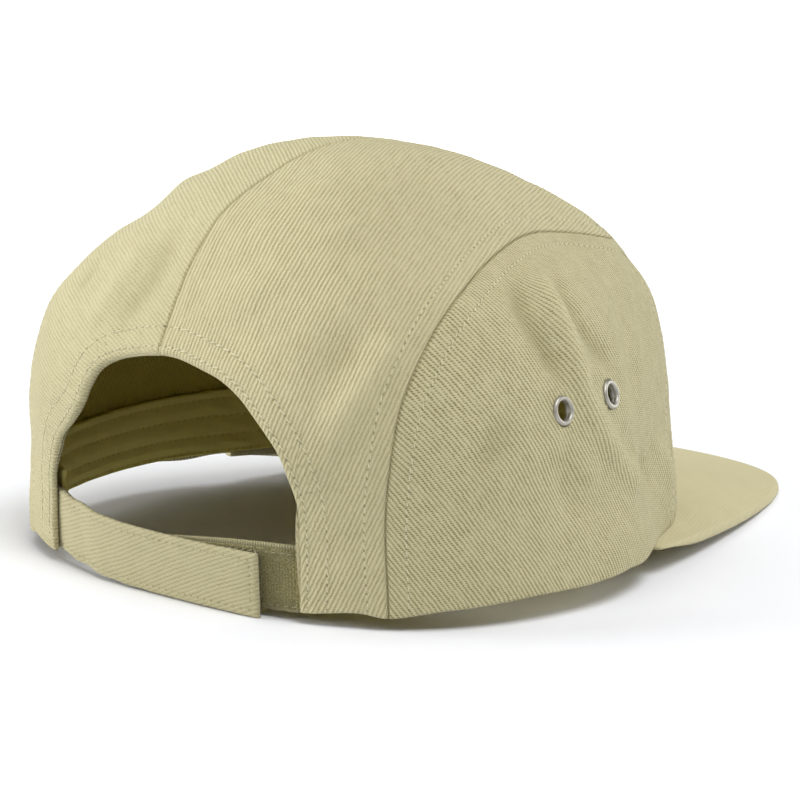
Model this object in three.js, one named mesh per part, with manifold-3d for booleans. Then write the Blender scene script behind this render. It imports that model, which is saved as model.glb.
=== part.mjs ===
import * as THREE from "three";
import { mergeVertices } from "three/addons/utils/BufferGeometryUtils.js";
import Module from "manifold-3d";

// A soft five panel cap: one front panel, two side panels and two back panels that meet in a seam over
// the middle of the head, a stiff peak, a sweatband, and a hook and loop strap across the arch at the back.
// Lengths are in millimetres and angles in degrees. The wearer faces -Y, the wearer's left is +X, +Z is up.

// The crown, measured from the middle of the rim
const FRONT_REACH = 102;
const BACK_REACH = 75.4;
const HALF_WIDTH = 90.5;
const CROWN_HEIGHT = 109;
const BACK_CORNERS = 0.081; // how much fuller than an oval the rim is at its back corners
const TEMPLE_PINCH = 0.053; // how far it is drawn in at the temples, by the peak's corners
const TEMPLE_TURN = 59;
const TEMPLE_SPREAD = 16.7;
const CLOTH = 1.8; // cloth with its turned edges
const GAP = 0.3; // clearance between pieces that are sewn together or touch
const HEM_WAVE = 1.6; // how far the hem line rises and falls from a flat rim

// The panels
const SIDE_PANEL_HEIGHT = 86;
const SIDE_SEAM_BACK = 60.5; // how far behind the middle the side seam starts
const SIDE_SEAM_FRONT = 69; // how far before the middle it meets the front panel's upper corner
const FRONT_PANEL_TURN = 50; // half of the front panel's lower edge
const FRONT_PANEL_RISE = 52; // height angle of its upper seam at the middle
const ARCH_WIDTH = 89;
const ARCH_HEIGHT = 62.4;

// The peak
const PEAK_LENGTH = 66.6; // at the middle, past the front of the crown
const PEAK_WIDTH = 163;
const PEAK_CORNER_TURN = 65;
const PEAK_THICKNESS = 2.8;
const PEAK_EDGE = 1.2; // thickness left at the rounded outer edge
const PEAK_DROP = 13.5; // how far its front lies below the rim
const PEAK_BOW = 4; // how far its sides fall below its middle

// The sweatband
const BAND_HEIGHT = 21.5;
const BAND_THICKNESS = 1.2;
const BAND_LIFT = 1; // its lower edge above the hem
const BAND_SLACK = 0.6; // clearance inside the wall, for the cloth's folds

// The straps
const STRAP_WIDTH = 17.8;
const STRAP_THICKNESS = 2;
const HOOK_WIDTH = 16;
const HOOK_THICKNESS = 1;
const HOOK_LENGTH = 42;
const LOOP_STRAP_WIDTH = 18.6;
const LOOP_STRAP_THICKNESS = 1.2;
const LOOP_TAPE_WIDTH = 16.4;
const LOOP_TAPE_THICKNESS = 1.2;
const LOOP_STRAP_LENGTH = 62; // from the arch's foot
const LOOP_SHOWS = 10; // loop tape left bare between the arch's foot and the strap's end
const STRAP_TUCK = 11; // length of each strap that is sewn in behind the cloth

// The eyelets, two in each side panel
const EYELET_WIDTH = 8.3;
const EYELET_HOLE = 5.2;
const EYELET_WALL = 0.5;
const EYELET_ROLL = 0.95; // how far the rolled ring stands out of the cloth
const EYELET_SEAT = 0.7; // room for the cloth's curve between it and the flat ring inside
const EYELET_HEIGHT = 47.3;
const EYELETS_AT = [8.2, -14.2]; // behind and before the middle

// Fullness of the crown's profile against an oval, at every 15 degrees from the rim to the top.
const FULLNESS = [
  { front: 1, side: 1, back: 1 },
  { front: 1.028, side: 0.968, back: 1.059 },
  { front: 1.09, side: 1.007, back: 1.162 },
  { front: 1.084, side: 1.025, back: 1.151 },
  { front: 1.031, side: 0.969, back: 1.117 },
  { front: 1, side: 1.008, back: 1.032 },
  { front: 1, side: 1, back: 1 },
];

// The hem's line: how high it lies at each angle from the front, as a share of HEM_WAVE.
const HEM = [
  { turn: 0, lift: -0.9 },
  { turn: 30, lift: -0.4 },
  { turn: 50, lift: 0.2 },
  { turn: 68, lift: 0.1 },
  { turn: 75, lift: -0.3 },
  { turn: 83, lift: 0.3 },
  { turn: 92, lift: 0.4 },
  { turn: 107, lift: 1 },
  { turn: 122, lift: 0.5 },
  { turn: 133, lift: -0.5 },
  { turn: 138, lift: 0.2 },
  { turn: 148, lift: -0.5 },
  { turn: 180, lift: -0.5 },
];

// Soft folds in the cloth, each at an angle from the front and a height angle, positive turn to the wearer's
// right. Its half length, half width and depth are shares of CROWN_HEIGHT, and lean turns its length from upright.
const FOLDS = [
  { turn: 88, rise: 40, long: 0.2, wide: 0.05, lean: -14, depth: 0.01 },
  { turn: 74, rise: 15, long: 0.2, wide: 0.06, lean: -40, depth: 0.013 },
  { turn: 96, rise: 20, long: 0.24, wide: 0.07, lean: -26, depth: -0.009 },
  { turn: 66, rise: 30, long: 0.2, wide: 0.055, lean: -18, depth: -0.01 },
  { turn: 52, rise: 9, long: 0.13, wide: 0.09, lean: 0, depth: 0.016 },
  { turn: 27, rise: 33, long: 0.09, wide: 0.12, lean: 0, depth: 0.014 },
  { turn: 31, rise: 24, long: 0.07, wide: 0.14, lean: 0, depth: -0.006 },
  { turn: 126, rise: 16, long: 0.1, wide: 0.07, lean: 10, depth: 0.006 },
  { turn: 142, rise: 26, long: 0.2, wide: 0.05, lean: 12, depth: -0.007 },
  { turn: 231, rise: 38, long: 0.1, wide: 0.14, lean: 0, depth: 0.014 },
  { turn: 232, rise: 57, long: 0.07, wide: 0.16, lean: 0, depth: -0.01 },
  { turn: 238, rise: 65, long: 0.05, wide: 0.14, lean: 0, depth: 0.014 },
  { turn: 270, rise: 30, long: 0.2, wide: 0.06, lean: 16, depth: 0.01 },
  { turn: 292, rise: 16, long: 0.2, wide: 0.06, lean: 34, depth: 0.011 },
];

// The side seam from the hem to the front panel's corner: along from SIDE_SEAM_BACK to SIDE_SEAM_FRONT,
// and up as a share of SIDE_PANEL_HEIGHT.
const SIDE_SEAM = [
  { along: 0, up: 0 },
  { along: 0, up: 0.24 },
  { along: 0.004, up: 0.395 },
  { along: 0.034, up: 0.607 },
  { along: 0.07, up: 0.695 },
  { along: 0.165, up: 0.838 },
  { along: 0.24, up: 0.9 },
  { along: 0.37, up: 0.957 },
  { along: 0.51, up: 0.993 },
  { along: 0.635, up: 0.998 },
  { along: 0.72, up: 0.983 },
  { along: 0.81, up: 0.957 },
  { along: 0.91, up: 0.922 },
  { along: 1, up: 0.882 },
];

// The seam between front and side panel: over from its foot to its upper end, and up in height angle.
const FRONT_SEAM = [
  { over: 0, up: 0 },
  { over: 0.17, up: 0.2 },
  { over: 0.42, up: 0.44 },
  { over: 0.72, up: 0.71 },
  { over: 0.9, up: 0.86 },
  { over: 1, up: 1 },
];

// The front panel's upper seam, from the middle to its corner.
const TOP_SEAM = [
  { over: 0, down: 0 },
  { over: 0.25, down: 0.06 },
  { over: 0.5, down: 0.26 },
  { over: 0.75, down: 0.58 },
  { over: 1, down: 1 },
];

// The arch's edge from its top to its foot, as shares of half of ARCH_WIDTH and of ARCH_HEIGHT.
const ARCH = {
  right: [
    { out: 0, up: 1 },
    { out: 0.142, up: 0.998 },
    { out: 0.324, up: 0.974 },
    { out: 0.485, up: 0.941 },
    { out: 0.634, up: 0.885 },
    { out: 0.744, up: 0.819 },
    { out: 0.845, up: 0.744 },
    { out: 0.919, up: 0.663 },
    { out: 0.971, up: 0.561 },
    { out: 1.004, up: 0.458 },
    { out: 1.018, up: 0.335 },
    { out: 1, up: 0 },
  ],
  left: [
    { out: 0, up: 1 },
    { out: 0.247, up: 0.968 },
    { out: 0.389, up: 0.933 },
    { out: 0.479, up: 0.889 },
    { out: 0.546, up: 0.813 },
    { out: 0.61, up: 0.71 },
    { out: 0.72, up: 0.623 },
    { out: 0.872, up: 0.52 },
    { out: 0.95, up: 0.372 },
    { out: 0.969, up: 0.232 },
    { out: 0.989, up: 0 },
  ],
};

// The peak's outline from its corner to the middle of its front edge.
const PEAK_OUTLINE = [
  { across: 1, ahead: 0 },
  { across: 0.972, ahead: 0.09 },
  { across: 0.93, ahead: 0.2 },
  { across: 0.866, ahead: 0.35 },
  { across: 0.794, ahead: 0.5 },
  { across: 0.71, ahead: 0.65 },
  { across: 0.645, ahead: 0.75 },
  { across: 0.56, ahead: 0.85 },
  { across: 0.46, ahead: 0.925 },
  { across: 0.33, ahead: 0.972 },
  { across: 0.17, ahead: 0.994 },
  { across: 0, ahead: 1 },
];

// The strap's run across the arch, from its left foot (0) to its right foot (1): the height of its middle
// above the rim as a share of STRAP_WIDTH, and how far it has come out from behind the cloth (0) to its
// place over the loop tape (1).
const STRAP_RUN = [
  { share: -0.02, height: 0.466, out: 0 },
  { share: 0.12, height: 0.415, out: 0.4 },
  { share: 0.25, height: 0.355, out: 0.9 },
  { share: 0.37, height: 0.33, out: 1 },
  { share: 0.5, height: 0.32, out: 1 },
  { share: 0.75, height: 0.315, out: 1 },
  { share: 1, height: 0.29, out: 1 },
];

const { degToRad, radToDeg, lerp, clamp } = THREE.MathUtils;
const sin = (angle) => Math.sin(degToRad(angle));
const cos = (angle) => Math.cos(degToRad(angle));
const times = (count, make) => Array.from({ length: count }, (_, i) => make(i));
const linspace = (from, to, count) => times(count + 1, (i) => lerp(from, to, i / count));

// The value of a table's column at a place along its key, easing from row to row.
function eased(rows, key, name, at) {
  const next = rows.findIndex((row) => row[key] >= at);
  if (next === 0) return rows[0][name];
  if (next < 0) return rows.at(-1)[name];
  const [a, b] = [rows[next - 1], rows[next]];
  const share = (at - a[key]) / (b[key] - a[key]);
  return lerp(a[name], b[name], share * share * (3 - 2 * share));
}

// A smooth curve through the rows of FULLNESS.
function fullness(name, rise) {
  const last = FULLNESS.length - 1;
  const x = clamp((rise / 90) * last, 0, last - 1e-9);
  const i = Math.floor(x);
  const f = x - i;
  const [a, b, c, d] = [i - 1, i, i + 1, i + 2].map((k) => FULLNESS[clamp(k, 0, last)][name]);
  return 0.5 * (2 * b + (c - a) * f + (2 * a - 5 * b + 4 * c - d) * f * f + (3 * b - a - 3 * c + d) * f ** 3);
}

function foldDepth(turn, rise) {
  let depth = 0;
  for (const fold of FOLDS) {
    const around = degToRad(((turn - fold.turn + 540) % 360) - 180) * cos(rise);
    const above = degToRad(rise - fold.rise);
    const along = (above * cos(fold.lean) + around * sin(fold.lean)) / fold.long;
    const across = (around * cos(fold.lean) - above * sin(fold.lean)) / fold.wide;
    depth += fold.depth * CROWN_HEIGHT * Math.exp(-along * along - across * across);
  }
  return depth < 0 ? depth * clamp(rise / 22, 0, 1) ** 2 : depth; // the sewn hem isn't pressed in
}

// The crown seen from above as a flat disc: a spot's angle is its turn from the front, its distance from
// the middle falls from 1 at the rim to 0 at the top.
const spot = (turn, rise) => new THREE.Vector2(-sin(turn), -cos(turn)).multiplyScalar(1 - rise / 90);
const turnOf = (at) => radToDeg(Math.atan2(-at.x, -at.y));
const riseOf = (at) => 90 * (1 - at.length());

// A spot's place on the crown's outer face without folds, and with them.
function plainPlace(at, proud = 0) {
  const [turn, rise] = [turnOf(at), riseOf(at)];
  const reach = (name, length) =>
    fullness(name, rise) / Math.hypot(cos(rise) / length, sin(rise) / CROWN_HEIGHT);
  const ahead = cos(turn) > 0;
  const deep = ahead ? reach("front", FRONT_REACH) : reach("back", BACK_REACH);
  const pinch = TEMPLE_PINCH * Math.exp(-(((Math.abs(turn) - TEMPLE_TURN) / TEMPLE_SPREAD) ** 2));
  const corner = ((ahead ? 0 : BACK_CORNERS) * sin(2 * turn) ** 2) * cos(rise) ** 2;
  const oval = 1 / Math.hypot(cos(turn) / deep, sin(turn) / reach("side", HALF_WIDTH));
  const r = oval * (1 + corner) * (1 - pinch * cos(rise) ** 2) + proud;
  return new THREE.Vector3(-r * cos(rise) * sin(turn), -r * cos(rise) * cos(turn), r * sin(rise));
}
const hemLift = (turn) => HEM_WAVE * eased(HEM, "turn", "lift", Math.abs(((turn + 540) % 360) - 180));
function outerPlace(at) {
  const [turn, rise] = [turnOf(at), riseOf(at)];
  const place = plainPlace(at, foldDepth(turn, rise));
  place.z += hemLift(turn) * Math.max(0, 1 - rise / 15) ** 2;
  return place;
}

// How a small step across the disc moves a spot's place.
function slopes(at, placeOf = outerPlace) {
  const step = 1e-3;
  const along = (dx, dy) =>
    placeOf(new THREE.Vector2(at.x + dx, at.y + dy))
      .sub(placeOf(new THREE.Vector2(at.x - dx, at.y - dy)))
      .divideScalar(2 * step);
  return [along(step, 0), along(0, step)];
}
function outward(at) {
  const [a, b] = slopes(at);
  const normal = a.cross(b);
  const place = plainPlace(at);
  if (normal.dot(place) < 0) normal.negate();
  normal.normalize();
  normal.z *= clamp(riseOf(at) / 12, 0, 1); // level at the hem, so that the hem is flat
  return normal.normalize();
}
const crown = (at, depth = 0) => outerPlace(at).addScaledVector(outward(at), -depth);

// The spot whose place has the given two coordinates, found step by step from a first guess.
function locate(aim, guess) {
  const at = guess.clone();
  const [one, two] = Object.keys(aim);
  for (let i = 0; i < 30; i++) {
    const place = plainPlace(at);
    const [a, b] = slopes(at, plainPlace);
    const [e, f] = [aim[one] - place[one], aim[two] - place[two]];
    const det = a[one] * b[two] - a[two] * b[one];
    const move = new THREE.Vector2(e * b[two] - f * b[one], f * a[one] - e * a[two]).divideScalar(det);
    at.add(move.clampLength(0, 0.08));
  }
  return at;
}
// The spot's neighbour that lies a small distance away, in a direction given in space.
function nudge(at, move) {
  const [a, b] = slopes(at);
  const [aa, ab, bb] = [a.dot(a), a.dot(b), b.dot(b)];
  const [am, bm] = [a.dot(move), b.dot(move)];
  const det = aa * bb - ab * ab;
  return new THREE.Vector2(at.x + (am * bb - bm * ab) / det, at.y + (bm * aa - am * ab) / det);
}
// Spots evenly spaced in space along a smooth line through the given ones.
function spaced(spots, count) {
  const line = new THREE.CatmullRomCurve3(spots.map((s) => new THREE.Vector3(s.x, s.y, 0)), false, "centripetal");
  const fine = line.getPoints(spots.length * 24).map((p) => new THREE.Vector2(p.x, p.y));
  const places = fine.map((s) => plainPlace(s));
  const run = [0];
  for (let i = 1; i < fine.length; i++) run.push(run[i - 1] + places[i].distanceTo(places[i - 1]));
  return linspace(0, run.at(-1), count).map((want) => {
    const next = clamp(run.findIndex((r) => r >= want - 1e-9), 1, fine.length - 1);
    const share = (want - run[next - 1]) / (run[next] - run[next - 1]);
    return fine[next - 1].clone().lerp(fine[next], clamp(share, 0, 1));
  });
}

// A closed solid between two faces given as rows of points.
function slab(outer, inner) {
  const [rows, cols] = [outer.length, outer[0].length];
  const points = [...outer.flat(), ...inner.flat()];
  const id = (face, r, c) => face * rows * cols + r * cols + c;
  const index = [];
  const quad = (a, b, c, d) => index.push(a, b, c, a, c, d);
  for (let r = 0; r + 1 < rows; r++)
    for (let c = 0; c + 1 < cols; c++) {
      quad(id(0, r, c), id(0, r, c + 1), id(0, r + 1, c + 1), id(0, r + 1, c));
      quad(id(1, r, c), id(1, r + 1, c), id(1, r + 1, c + 1), id(1, r, c + 1));
    }
  for (let c = 0; c + 1 < cols; c++) {
    quad(id(1, 0, c), id(1, 0, c + 1), id(0, 0, c + 1), id(0, 0, c));
    quad(id(0, rows - 1, c), id(0, rows - 1, c + 1), id(1, rows - 1, c + 1), id(1, rows - 1, c));
  }
  for (let r = 0; r + 1 < rows; r++) {
    quad(id(0, r, 0), id(0, r + 1, 0), id(1, r + 1, 0), id(1, r, 0));
    quad(id(1, r, cols - 1), id(1, r + 1, cols - 1), id(0, r + 1, cols - 1), id(0, r, cols - 1));
  }
  let volume = 0;
  for (let i = 0; i < index.length; i += 3)
    volume += points[index[i]].dot(points[index[i + 1]].clone().cross(points[index[i + 2]]));
  if (volume < 0)
    for (let i = 0; i < index.length; i += 3) [index[i + 1], index[i + 2]] = [index[i + 2], index[i + 1]];
  const geometry = new THREE.BufferGeometry().setFromPoints(points);
  geometry.setIndex(index);
  return geometry;
}

// A panel's spots, filled in between its four edges. Edges that are seams are set back by half of the gap.
function panelSpots({ hem, top, start, end, seams }) {
  const [cols, rows] = [hem.length - 1, start.length - 1];
  const mix = (a, b, share) => a.clone().lerp(b, share);
  const spots = times(rows + 1, (r) =>
    times(cols + 1, (c) => {
      const [u, v] = [c / cols, r / rows];
      const across = mix(start[r], end[r], u);
      const up = mix(hem[c], top[c], v);
      const corners = mix(mix(start[0], end[0], u), mix(start[rows], end[rows], u), v);
      return across.add(up).sub(corners);
    }),
  );
  const place = spots.map((row) => row.map((s) => outerPlace(s)));
  const inwards = (r, c, dr, dc) => {
    const near = (i, j) => place[clamp(i, 0, rows)][clamp(j, 0, cols)];
    const along = near(r + dc, c + dr).clone().sub(near(r - dc, c - dr)).normalize();
    const away = near(r + dr, c + dc).clone().sub(near(r, c));
    return away.addScaledVector(along, -away.dot(along)).normalize();
  };
  const sides = [
    { name: "start", on: (r, c) => c === 0, step: [0, 1] },
    { name: "end", on: (r, c) => c === cols, step: [0, -1] },
    { name: "top", on: (r) => r === rows, step: [-1, 0] },
  ].filter((side) => seams.includes(side.name));
  return spots.map((row, r) =>
    row.map((at, c) => {
      const moves = sides.filter((s) => s.on(r, c)).map((s) => inwards(r, c, ...s.step));
      if (!moves.length) return at;
      const sum = moves.reduce((a, b) => a.clone().add(b));
      if (moves.length > 1) sum.divideScalar(1 + moves[0].dot(moves[1]));
      return nudge(at, sum.multiplyScalar(GAP / 2));
    }),
  );
}
const shell = (spots, outerDepth, innerDepth) =>
  slab(
    spots.map((row) => row.map((at) => crown(at, outerDepth))),
    spots.map((row) => row.map((at) => crown(at, innerDepth))),
  );

// Cutting with manifold-3d.
const wasm = await Module();
wasm.setup();
function solidOf(geometry) {
  const bare = geometry.clone();
  for (const name of ["normal", "uv"]) if (bare.getAttribute(name)) bare.deleteAttribute(name);
  const merged = mergeVertices(bare, 1e-5);
  return new wasm.Manifold(
    new wasm.Mesh({
      numProp: 3,
      vertProperties: new Float32Array(merged.attributes.position.array),
      triVerts: new Uint32Array(merged.index.array),
    }),
  );
}
function cutAway(geometry, cutters) {
  const mesh = cutters.reduce((left, cutter) => left.subtract(solidOf(cutter)), solidOf(geometry)).getMesh();
  const cut = new THREE.BufferGeometry();
  cut.setAttribute("position", new THREE.BufferAttribute(Float32Array.from(mesh.vertProperties), 3));
  cut.setIndex([...mesh.triVerts]);
  return cut;
}

const cap = new THREE.Group();
const cloth = { color: 0xc9c396, roughness: 0.92, metalness: 0 };
function add(name, geometry, look = cloth) {
  geometry.computeVertexNormals();
  const mesh = new THREE.Mesh(geometry, new THREE.MeshStandardMaterial(look));
  mesh.name = name;
  cap.add(mesh);
  return mesh;
}

// Seam lines of the wearer's right half. The left half is their mirror image, apart from the arch.
const LEG = 10; // steps up the upright part of the side seam
const ROOF = 16; // steps over its upper part
const HALF_TOP = 13; // steps of half of the front panel's upper seam
const mirrored = (spots) => spots.map((s) => new THREE.Vector2(-s.x, s.y));
const sideSeamSpots = SIDE_SEAM.map(({ along, up }) => {
  const aim = { y: lerp(SIDE_SEAM_BACK, -SIDE_SEAM_FRONT, along), z: up * SIDE_PANEL_HEIGHT };
  return locate(aim, spot(lerp(133, 40, along), 55 * up));
});
const corner = sideSeamSpots.at(-1);
const sideSeam = spaced(sideSeamSpots, LEG + ROOF);
const frontSeam = spaced(
  FRONT_SEAM.map(({ over, up }) => spot(lerp(FRONT_PANEL_TURN, turnOf(corner), over), up * riseOf(corner))),
  LEG,
);
const topSeam = spaced(
  TOP_SEAM.map(({ over, down }) => spot(over * turnOf(corner), lerp(FRONT_PANEL_RISE, riseOf(corner), down))),
  HALF_TOP,
);
const archEdge = (side) => {
  const sign = side === "right" ? -1 : 1;
  return ARCH[side].map(({ out, up }) =>
    locate({ x: (sign * out * ARCH_WIDTH) / 2, z: up * ARCH_HEIGHT }, spot(180 + sign * 32 * out, 39 * up)),
  );
};
const arch = { right: archEdge("right"), left: archEdge("left") };
const foot = { right: turnOf(arch.right.at(-1)), left: turnOf(arch.left.at(-1)) };
const seamFoot = turnOf(sideSeam[0]);
const hemSpots = (from, to, count) => linspace(from, to, count).map((turn) => spot(turn, 0));

// The front panel
const half = topSeam.slice(1);
const frontSpots = panelSpots({
  hem: hemSpots(-FRONT_PANEL_TURN, FRONT_PANEL_TURN, 2 * HALF_TOP),
  top: [...mirrored(half).reverse(), topSeam[0], ...half],
  start: mirrored(frontSeam),
  end: frontSeam,
  seams: ["start", "end", "top"],
});
add("front_panel", shell(frontSpots, 0, CLOTH));

// The side panels, each with two holes for its eyelets
const sideSpots = panelSpots({
  hem: hemSpots(seamFoot, FRONT_PANEL_TURN, ROOF),
  top: sideSeam.slice(LEG),
  start: sideSeam.slice(0, LEG + 1),
  end: frontSeam,
  seams: ["start", "end", "top"],
});
const barrel = EYELET_HOLE / 2 + EYELET_WALL;
const upright = new THREE.Vector3(0, 1, 0);
for (const [side, sign] of [["right", 1], ["left", -1]]) {
  const spots = sign > 0 ? sideSpots : sideSpots.map((row) => mirrored(row));
  const eyelets = EYELETS_AT.map((back) => {
    const at = locate({ y: back, z: EYELET_HEIGHT }, spot(sign * (88 + back / 2), 30));
    const away = outward(at);
    return { place: crown(at), away, turn: new THREE.Quaternion().setFromUnitVectors(upright, away) };
  });
  const cutters = eyelets.map(({ place, turn }) =>
    new THREE.CylinderGeometry(barrel + GAP, barrel + GAP, 6 * CLOTH, 16)
      .applyQuaternion(turn)
      .translate(place.x, place.y, place.z),
  );
  add(`side_panel_${side}`, cutAway(shell(spots, 0, CLOTH), cutters));

  // An eyelet: a rolled ring outside, a tube through the cloth and a flat ring inside
  const [hole, edge, back] = [EYELET_HOLE / 2, EYELET_WIDTH / 2, CLOTH + EYELET_SEAT];
  const profile = [
    [hole, -back - EYELET_WALL],
    [edge - 0.2, -back - EYELET_WALL],
    [edge - 0.2, -back],
    [barrel, -back],
    [barrel, GAP],
    [edge - 0.1, GAP],
    [edge, lerp(GAP, EYELET_ROLL, 0.5)],
    [lerp(hole, edge, 0.62), EYELET_ROLL],
    [lerp(hole, edge, 0.25), EYELET_ROLL * 0.85],
    [hole, lerp(GAP, EYELET_ROLL, 0.2)],
    [hole, -back - EYELET_WALL],
  ].map(([x, y]) => new THREE.Vector2(x, y));
  eyelets.forEach(({ place, turn }, i) => {
    const ring = add(`eyelet_${side}_${i ? "front" : "back"}`, new THREE.LatheGeometry(profile, 18), {
      color: 0xb5b0a4,
      roughness: 0.35,
      metalness: 1,
    });
    ring.position.copy(place);
    ring.quaternion.copy(turn);
  });
}

// The back panels, from the arch and the hem up over the head to the front panel
const HEM_STEPS = 3;
for (const side of ["right", "left"]) {
  const flip = side === "right" ? (spots) => spots : mirrored;
  const edge = spaced(arch[side], HALF_TOP - HEM_STEPS);
  const hem = hemSpots(foot[side], side === "right" ? seamFoot : -seamFoot, HEM_STEPS);
  const spots = panelSpots({
    hem: [...edge, ...hem.slice(1)],
    top: flip(topSeam),
    start: spaced([arch[side][0], new THREE.Vector2(0, 0), topSeam[0]], LEG + ROOF),
    end: flip(sideSeam),
    seams: ["start", "end", "top"],
  });
  add(`back_panel_${side}`, shell(spots, 0, CLOTH));
}

// The peak: a stiff board covered in cloth, sewn in under the front of the hem
const tip = FRONT_REACH + PEAK_LENGTH;
const peakCorner = plainPlace(spot(PEAK_CORNER_TURN, 0));
const outline = new THREE.CatmullRomCurve3(
  [...PEAK_OUTLINE, ...PEAK_OUTLINE.slice(0, -1).reverse().map((row) => ({ ...row, across: -row.across }))].map(
    ({ across, ahead }) => {
      const y = lerp(peakCorner.y, -tip, ahead);
      const z = lerp(-GAP - PEAK_THICKNESS / 2, -PEAK_DROP, ahead) - PEAK_BOW * across ** 2 * ahead;
      return new THREE.Vector3((-across * PEAK_WIDTH) / 2, y, z);
    },
  ),
  false,
  "centripetal",
);
outline.arcLengthDivisions = 600;
const PEAK_STEPS = 26;
const outerEdge = outline.getSpacedPoints(PEAK_STEPS);
const innerEdge = linspace(PEAK_CORNER_TURN, -PEAK_CORNER_TURN, PEAK_STEPS).map((turn) => {
  const place = crown(spot(turn, 0), CLOTH * 0.6);
  place.z = hemLift(turn) - GAP - PEAK_THICKNESS / 2;
  return place;
});
const peakRows = [0, 0.2, 0.4, 0.6, 0.8, 1].map((v) =>
  innerEdge.map((from, i) => {
    const to = outerEdge[i];
    const reach = Math.max(0.5, from.distanceTo(to));
    const share = v === 1 ? 1 : v * (1 - PEAK_THICKNESS / 2 / Math.max(reach, 2 * PEAK_THICKNESS));
    return { place: from.clone().lerp(to, share), thick: v === 1 ? PEAK_EDGE : PEAK_THICKNESS };
  }),
);
const peakFace = (sign) =>
  peakRows.map((row) => row.map(({ place, thick }) => place.clone().setZ(place.z + (sign * thick) / 2)));
const peak = add("peak", slab(peakFace(1), peakFace(-1)));

// Points on or beside the wall at a height above the rim
function atHeight(turn, height, depth) {
  let [low, high] = [0, 80];
  for (let i = 0; i < 30; i++) {
    const middle = (low + high) / 2;
    if (plainPlace(spot(turn, middle)).z < height) low = middle;
    else high = middle;
  }
  return crown(spot(turn, low), depth);
}
// A flat band that follows the wall, from one angle to another.
function band(turns, heightsAt, depthsAt) {
  const face = (which) =>
    turns.map((turn) => {
      const [low, high] = heightsAt(turn);
      const depth = depthsAt(turn)[which];
      return linspace(low, high, 2).map((height) => atHeight(turn, Math.max(0, height), depth).setZ(height));
    });
  return slab(face(0), face(1));
}

// The straps' shares of the arch's width, from the left foot (0) to the right foot (1)
const leftFoot = 360 + foot.left;
const archLength = degToRad(leftFoot - foot.right) * BACK_REACH;
const turnAt = (share) => lerp(leftFoot, foot.right, share);
const shareAt = (turn) => (leftFoot - turn) / (leftFoot - foot.right);
const tuckedFace = CLOTH + GAP; // depth of a face that is tucked in behind the cloth
const overlapFace = tuckedFace - HOOK_THICKNESS - STRAP_THICKNESS - 2 * GAP; // strap and hook over the loops
const runOf = (turn, name) => eased(STRAP_RUN, "share", name, shareAt(turn));
const middleOf = (turn) => STRAP_WIDTH * runOf(turn, "height");
const faceOf = (turn) => lerp(tuckedFace, overlapFace, runOf(turn, "out"));
const beside = (middle, width) => [middle - width / 2, middle + width / 2];
const tuck = STRAP_TUCK / archLength;
const strapEnd = 1 - LOOP_SHOWS / archLength;

add("strap", band(
  linspace(-tuck, strapEnd, 24).map(turnAt),
  (turn) => beside(middleOf(turn), STRAP_WIDTH),
  (turn) => [faceOf(turn), faceOf(turn) + STRAP_THICKNESS],
));
add("hook_tape", band(
  linspace(strapEnd - HOOK_LENGTH / archLength, strapEnd - 1 / archLength, 12).map(turnAt),
  (turn) => beside(middleOf(turn), HOOK_WIDTH),
  (turn) => [faceOf(turn) + STRAP_THICKNESS + GAP, faceOf(turn) + STRAP_THICKNESS + GAP + HOOK_THICKNESS],
));
const loopTurns = (from, to, count) => linspace(from, to, count).map(turnAt);
const loopStart = 1 - LOOP_STRAP_LENGTH / archLength;
const loopMiddle = (turn) => STRAP_WIDTH * lerp(0.36, 0.41, clamp((shareAt(turn) - 0.6) / 0.4, 0, 1));
add("loop_tape", band(
  loopTurns(loopStart + 1 / archLength, 1 + tuck, 14),
  (turn) => beside(loopMiddle(turn), LOOP_TAPE_WIDTH),
  () => [tuckedFace, tuckedFace + LOOP_TAPE_THICKNESS],
), { color: 0x8f8a5c, roughness: 1, metalness: 0 });
add("loop_strap", band(
  loopTurns(loopStart, 1 + tuck, 14),
  (turn) => beside(loopMiddle(turn), LOOP_STRAP_WIDTH),
  () => [LOOP_TAPE_THICKNESS + GAP, LOOP_TAPE_THICKNESS + GAP + LOOP_STRAP_THICKNESS].map((d) => tuckedFace + d),
));

// The sweatband, round the inside from one foot of the arch to the other, over the ends of the straps
const root = { right: LOOP_TAPE_THICKNESS + LOOP_STRAP_THICKNESS + 2 * GAP, left: STRAP_THICKNESS + GAP };
const bandDepth = (turn) => {
  const side = turn > 0 ? "right" : "left";
  const near = degToRad(Math.abs(foot[side]) - Math.abs(turn)) * BACK_REACH;
  const share = clamp((STRAP_TUCK * 2 - near) / STRAP_TUCK, 0, 1);
  return CLOTH + BAND_SLACK + root[side] * share * share * (3 - 2 * share);
};
const bandRows = (depthOf) =>
  linspace(foot.left, foot.right, 64).map((turn) =>
    linspace(BAND_LIFT, BAND_HEIGHT, 3).map((height) => atHeight(turn, height, depthOf(turn))),
  );
add("sweatband", slab(bandRows(bandDepth), bandRows((turn) => bandDepth(turn) + BAND_THICKNESS)), {
  color: 0xb3ac78,
  roughness: 0.95,
  metalness: 0,
});

// At rest the cap stands on the peak's front edge and on the back of its strap.
function lowest(names, tilt) {
  const points = names.flatMap((name) => {
    const position = cap.getObjectByName(name).geometry.getAttribute("position");
    return times(position.count, (i) => new THREE.Vector3().fromBufferAttribute(position, i));
  });
  const level = (p) => p.z * Math.cos(tilt) - p.y * Math.sin(tilt);
  return points.reduce((a, b) => (level(b) < level(a) ? b : a));
}
let tilt = 0;
for (let i = 0; i < 12; i++) {
  const [front, back] = [lowest(["peak"], tilt), lowest(["strap", "loop_strap"], tilt)];
  tilt = Math.atan2(back.z - front.z, back.y - front.y);
}
cap.rotation.x = -tilt;

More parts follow.
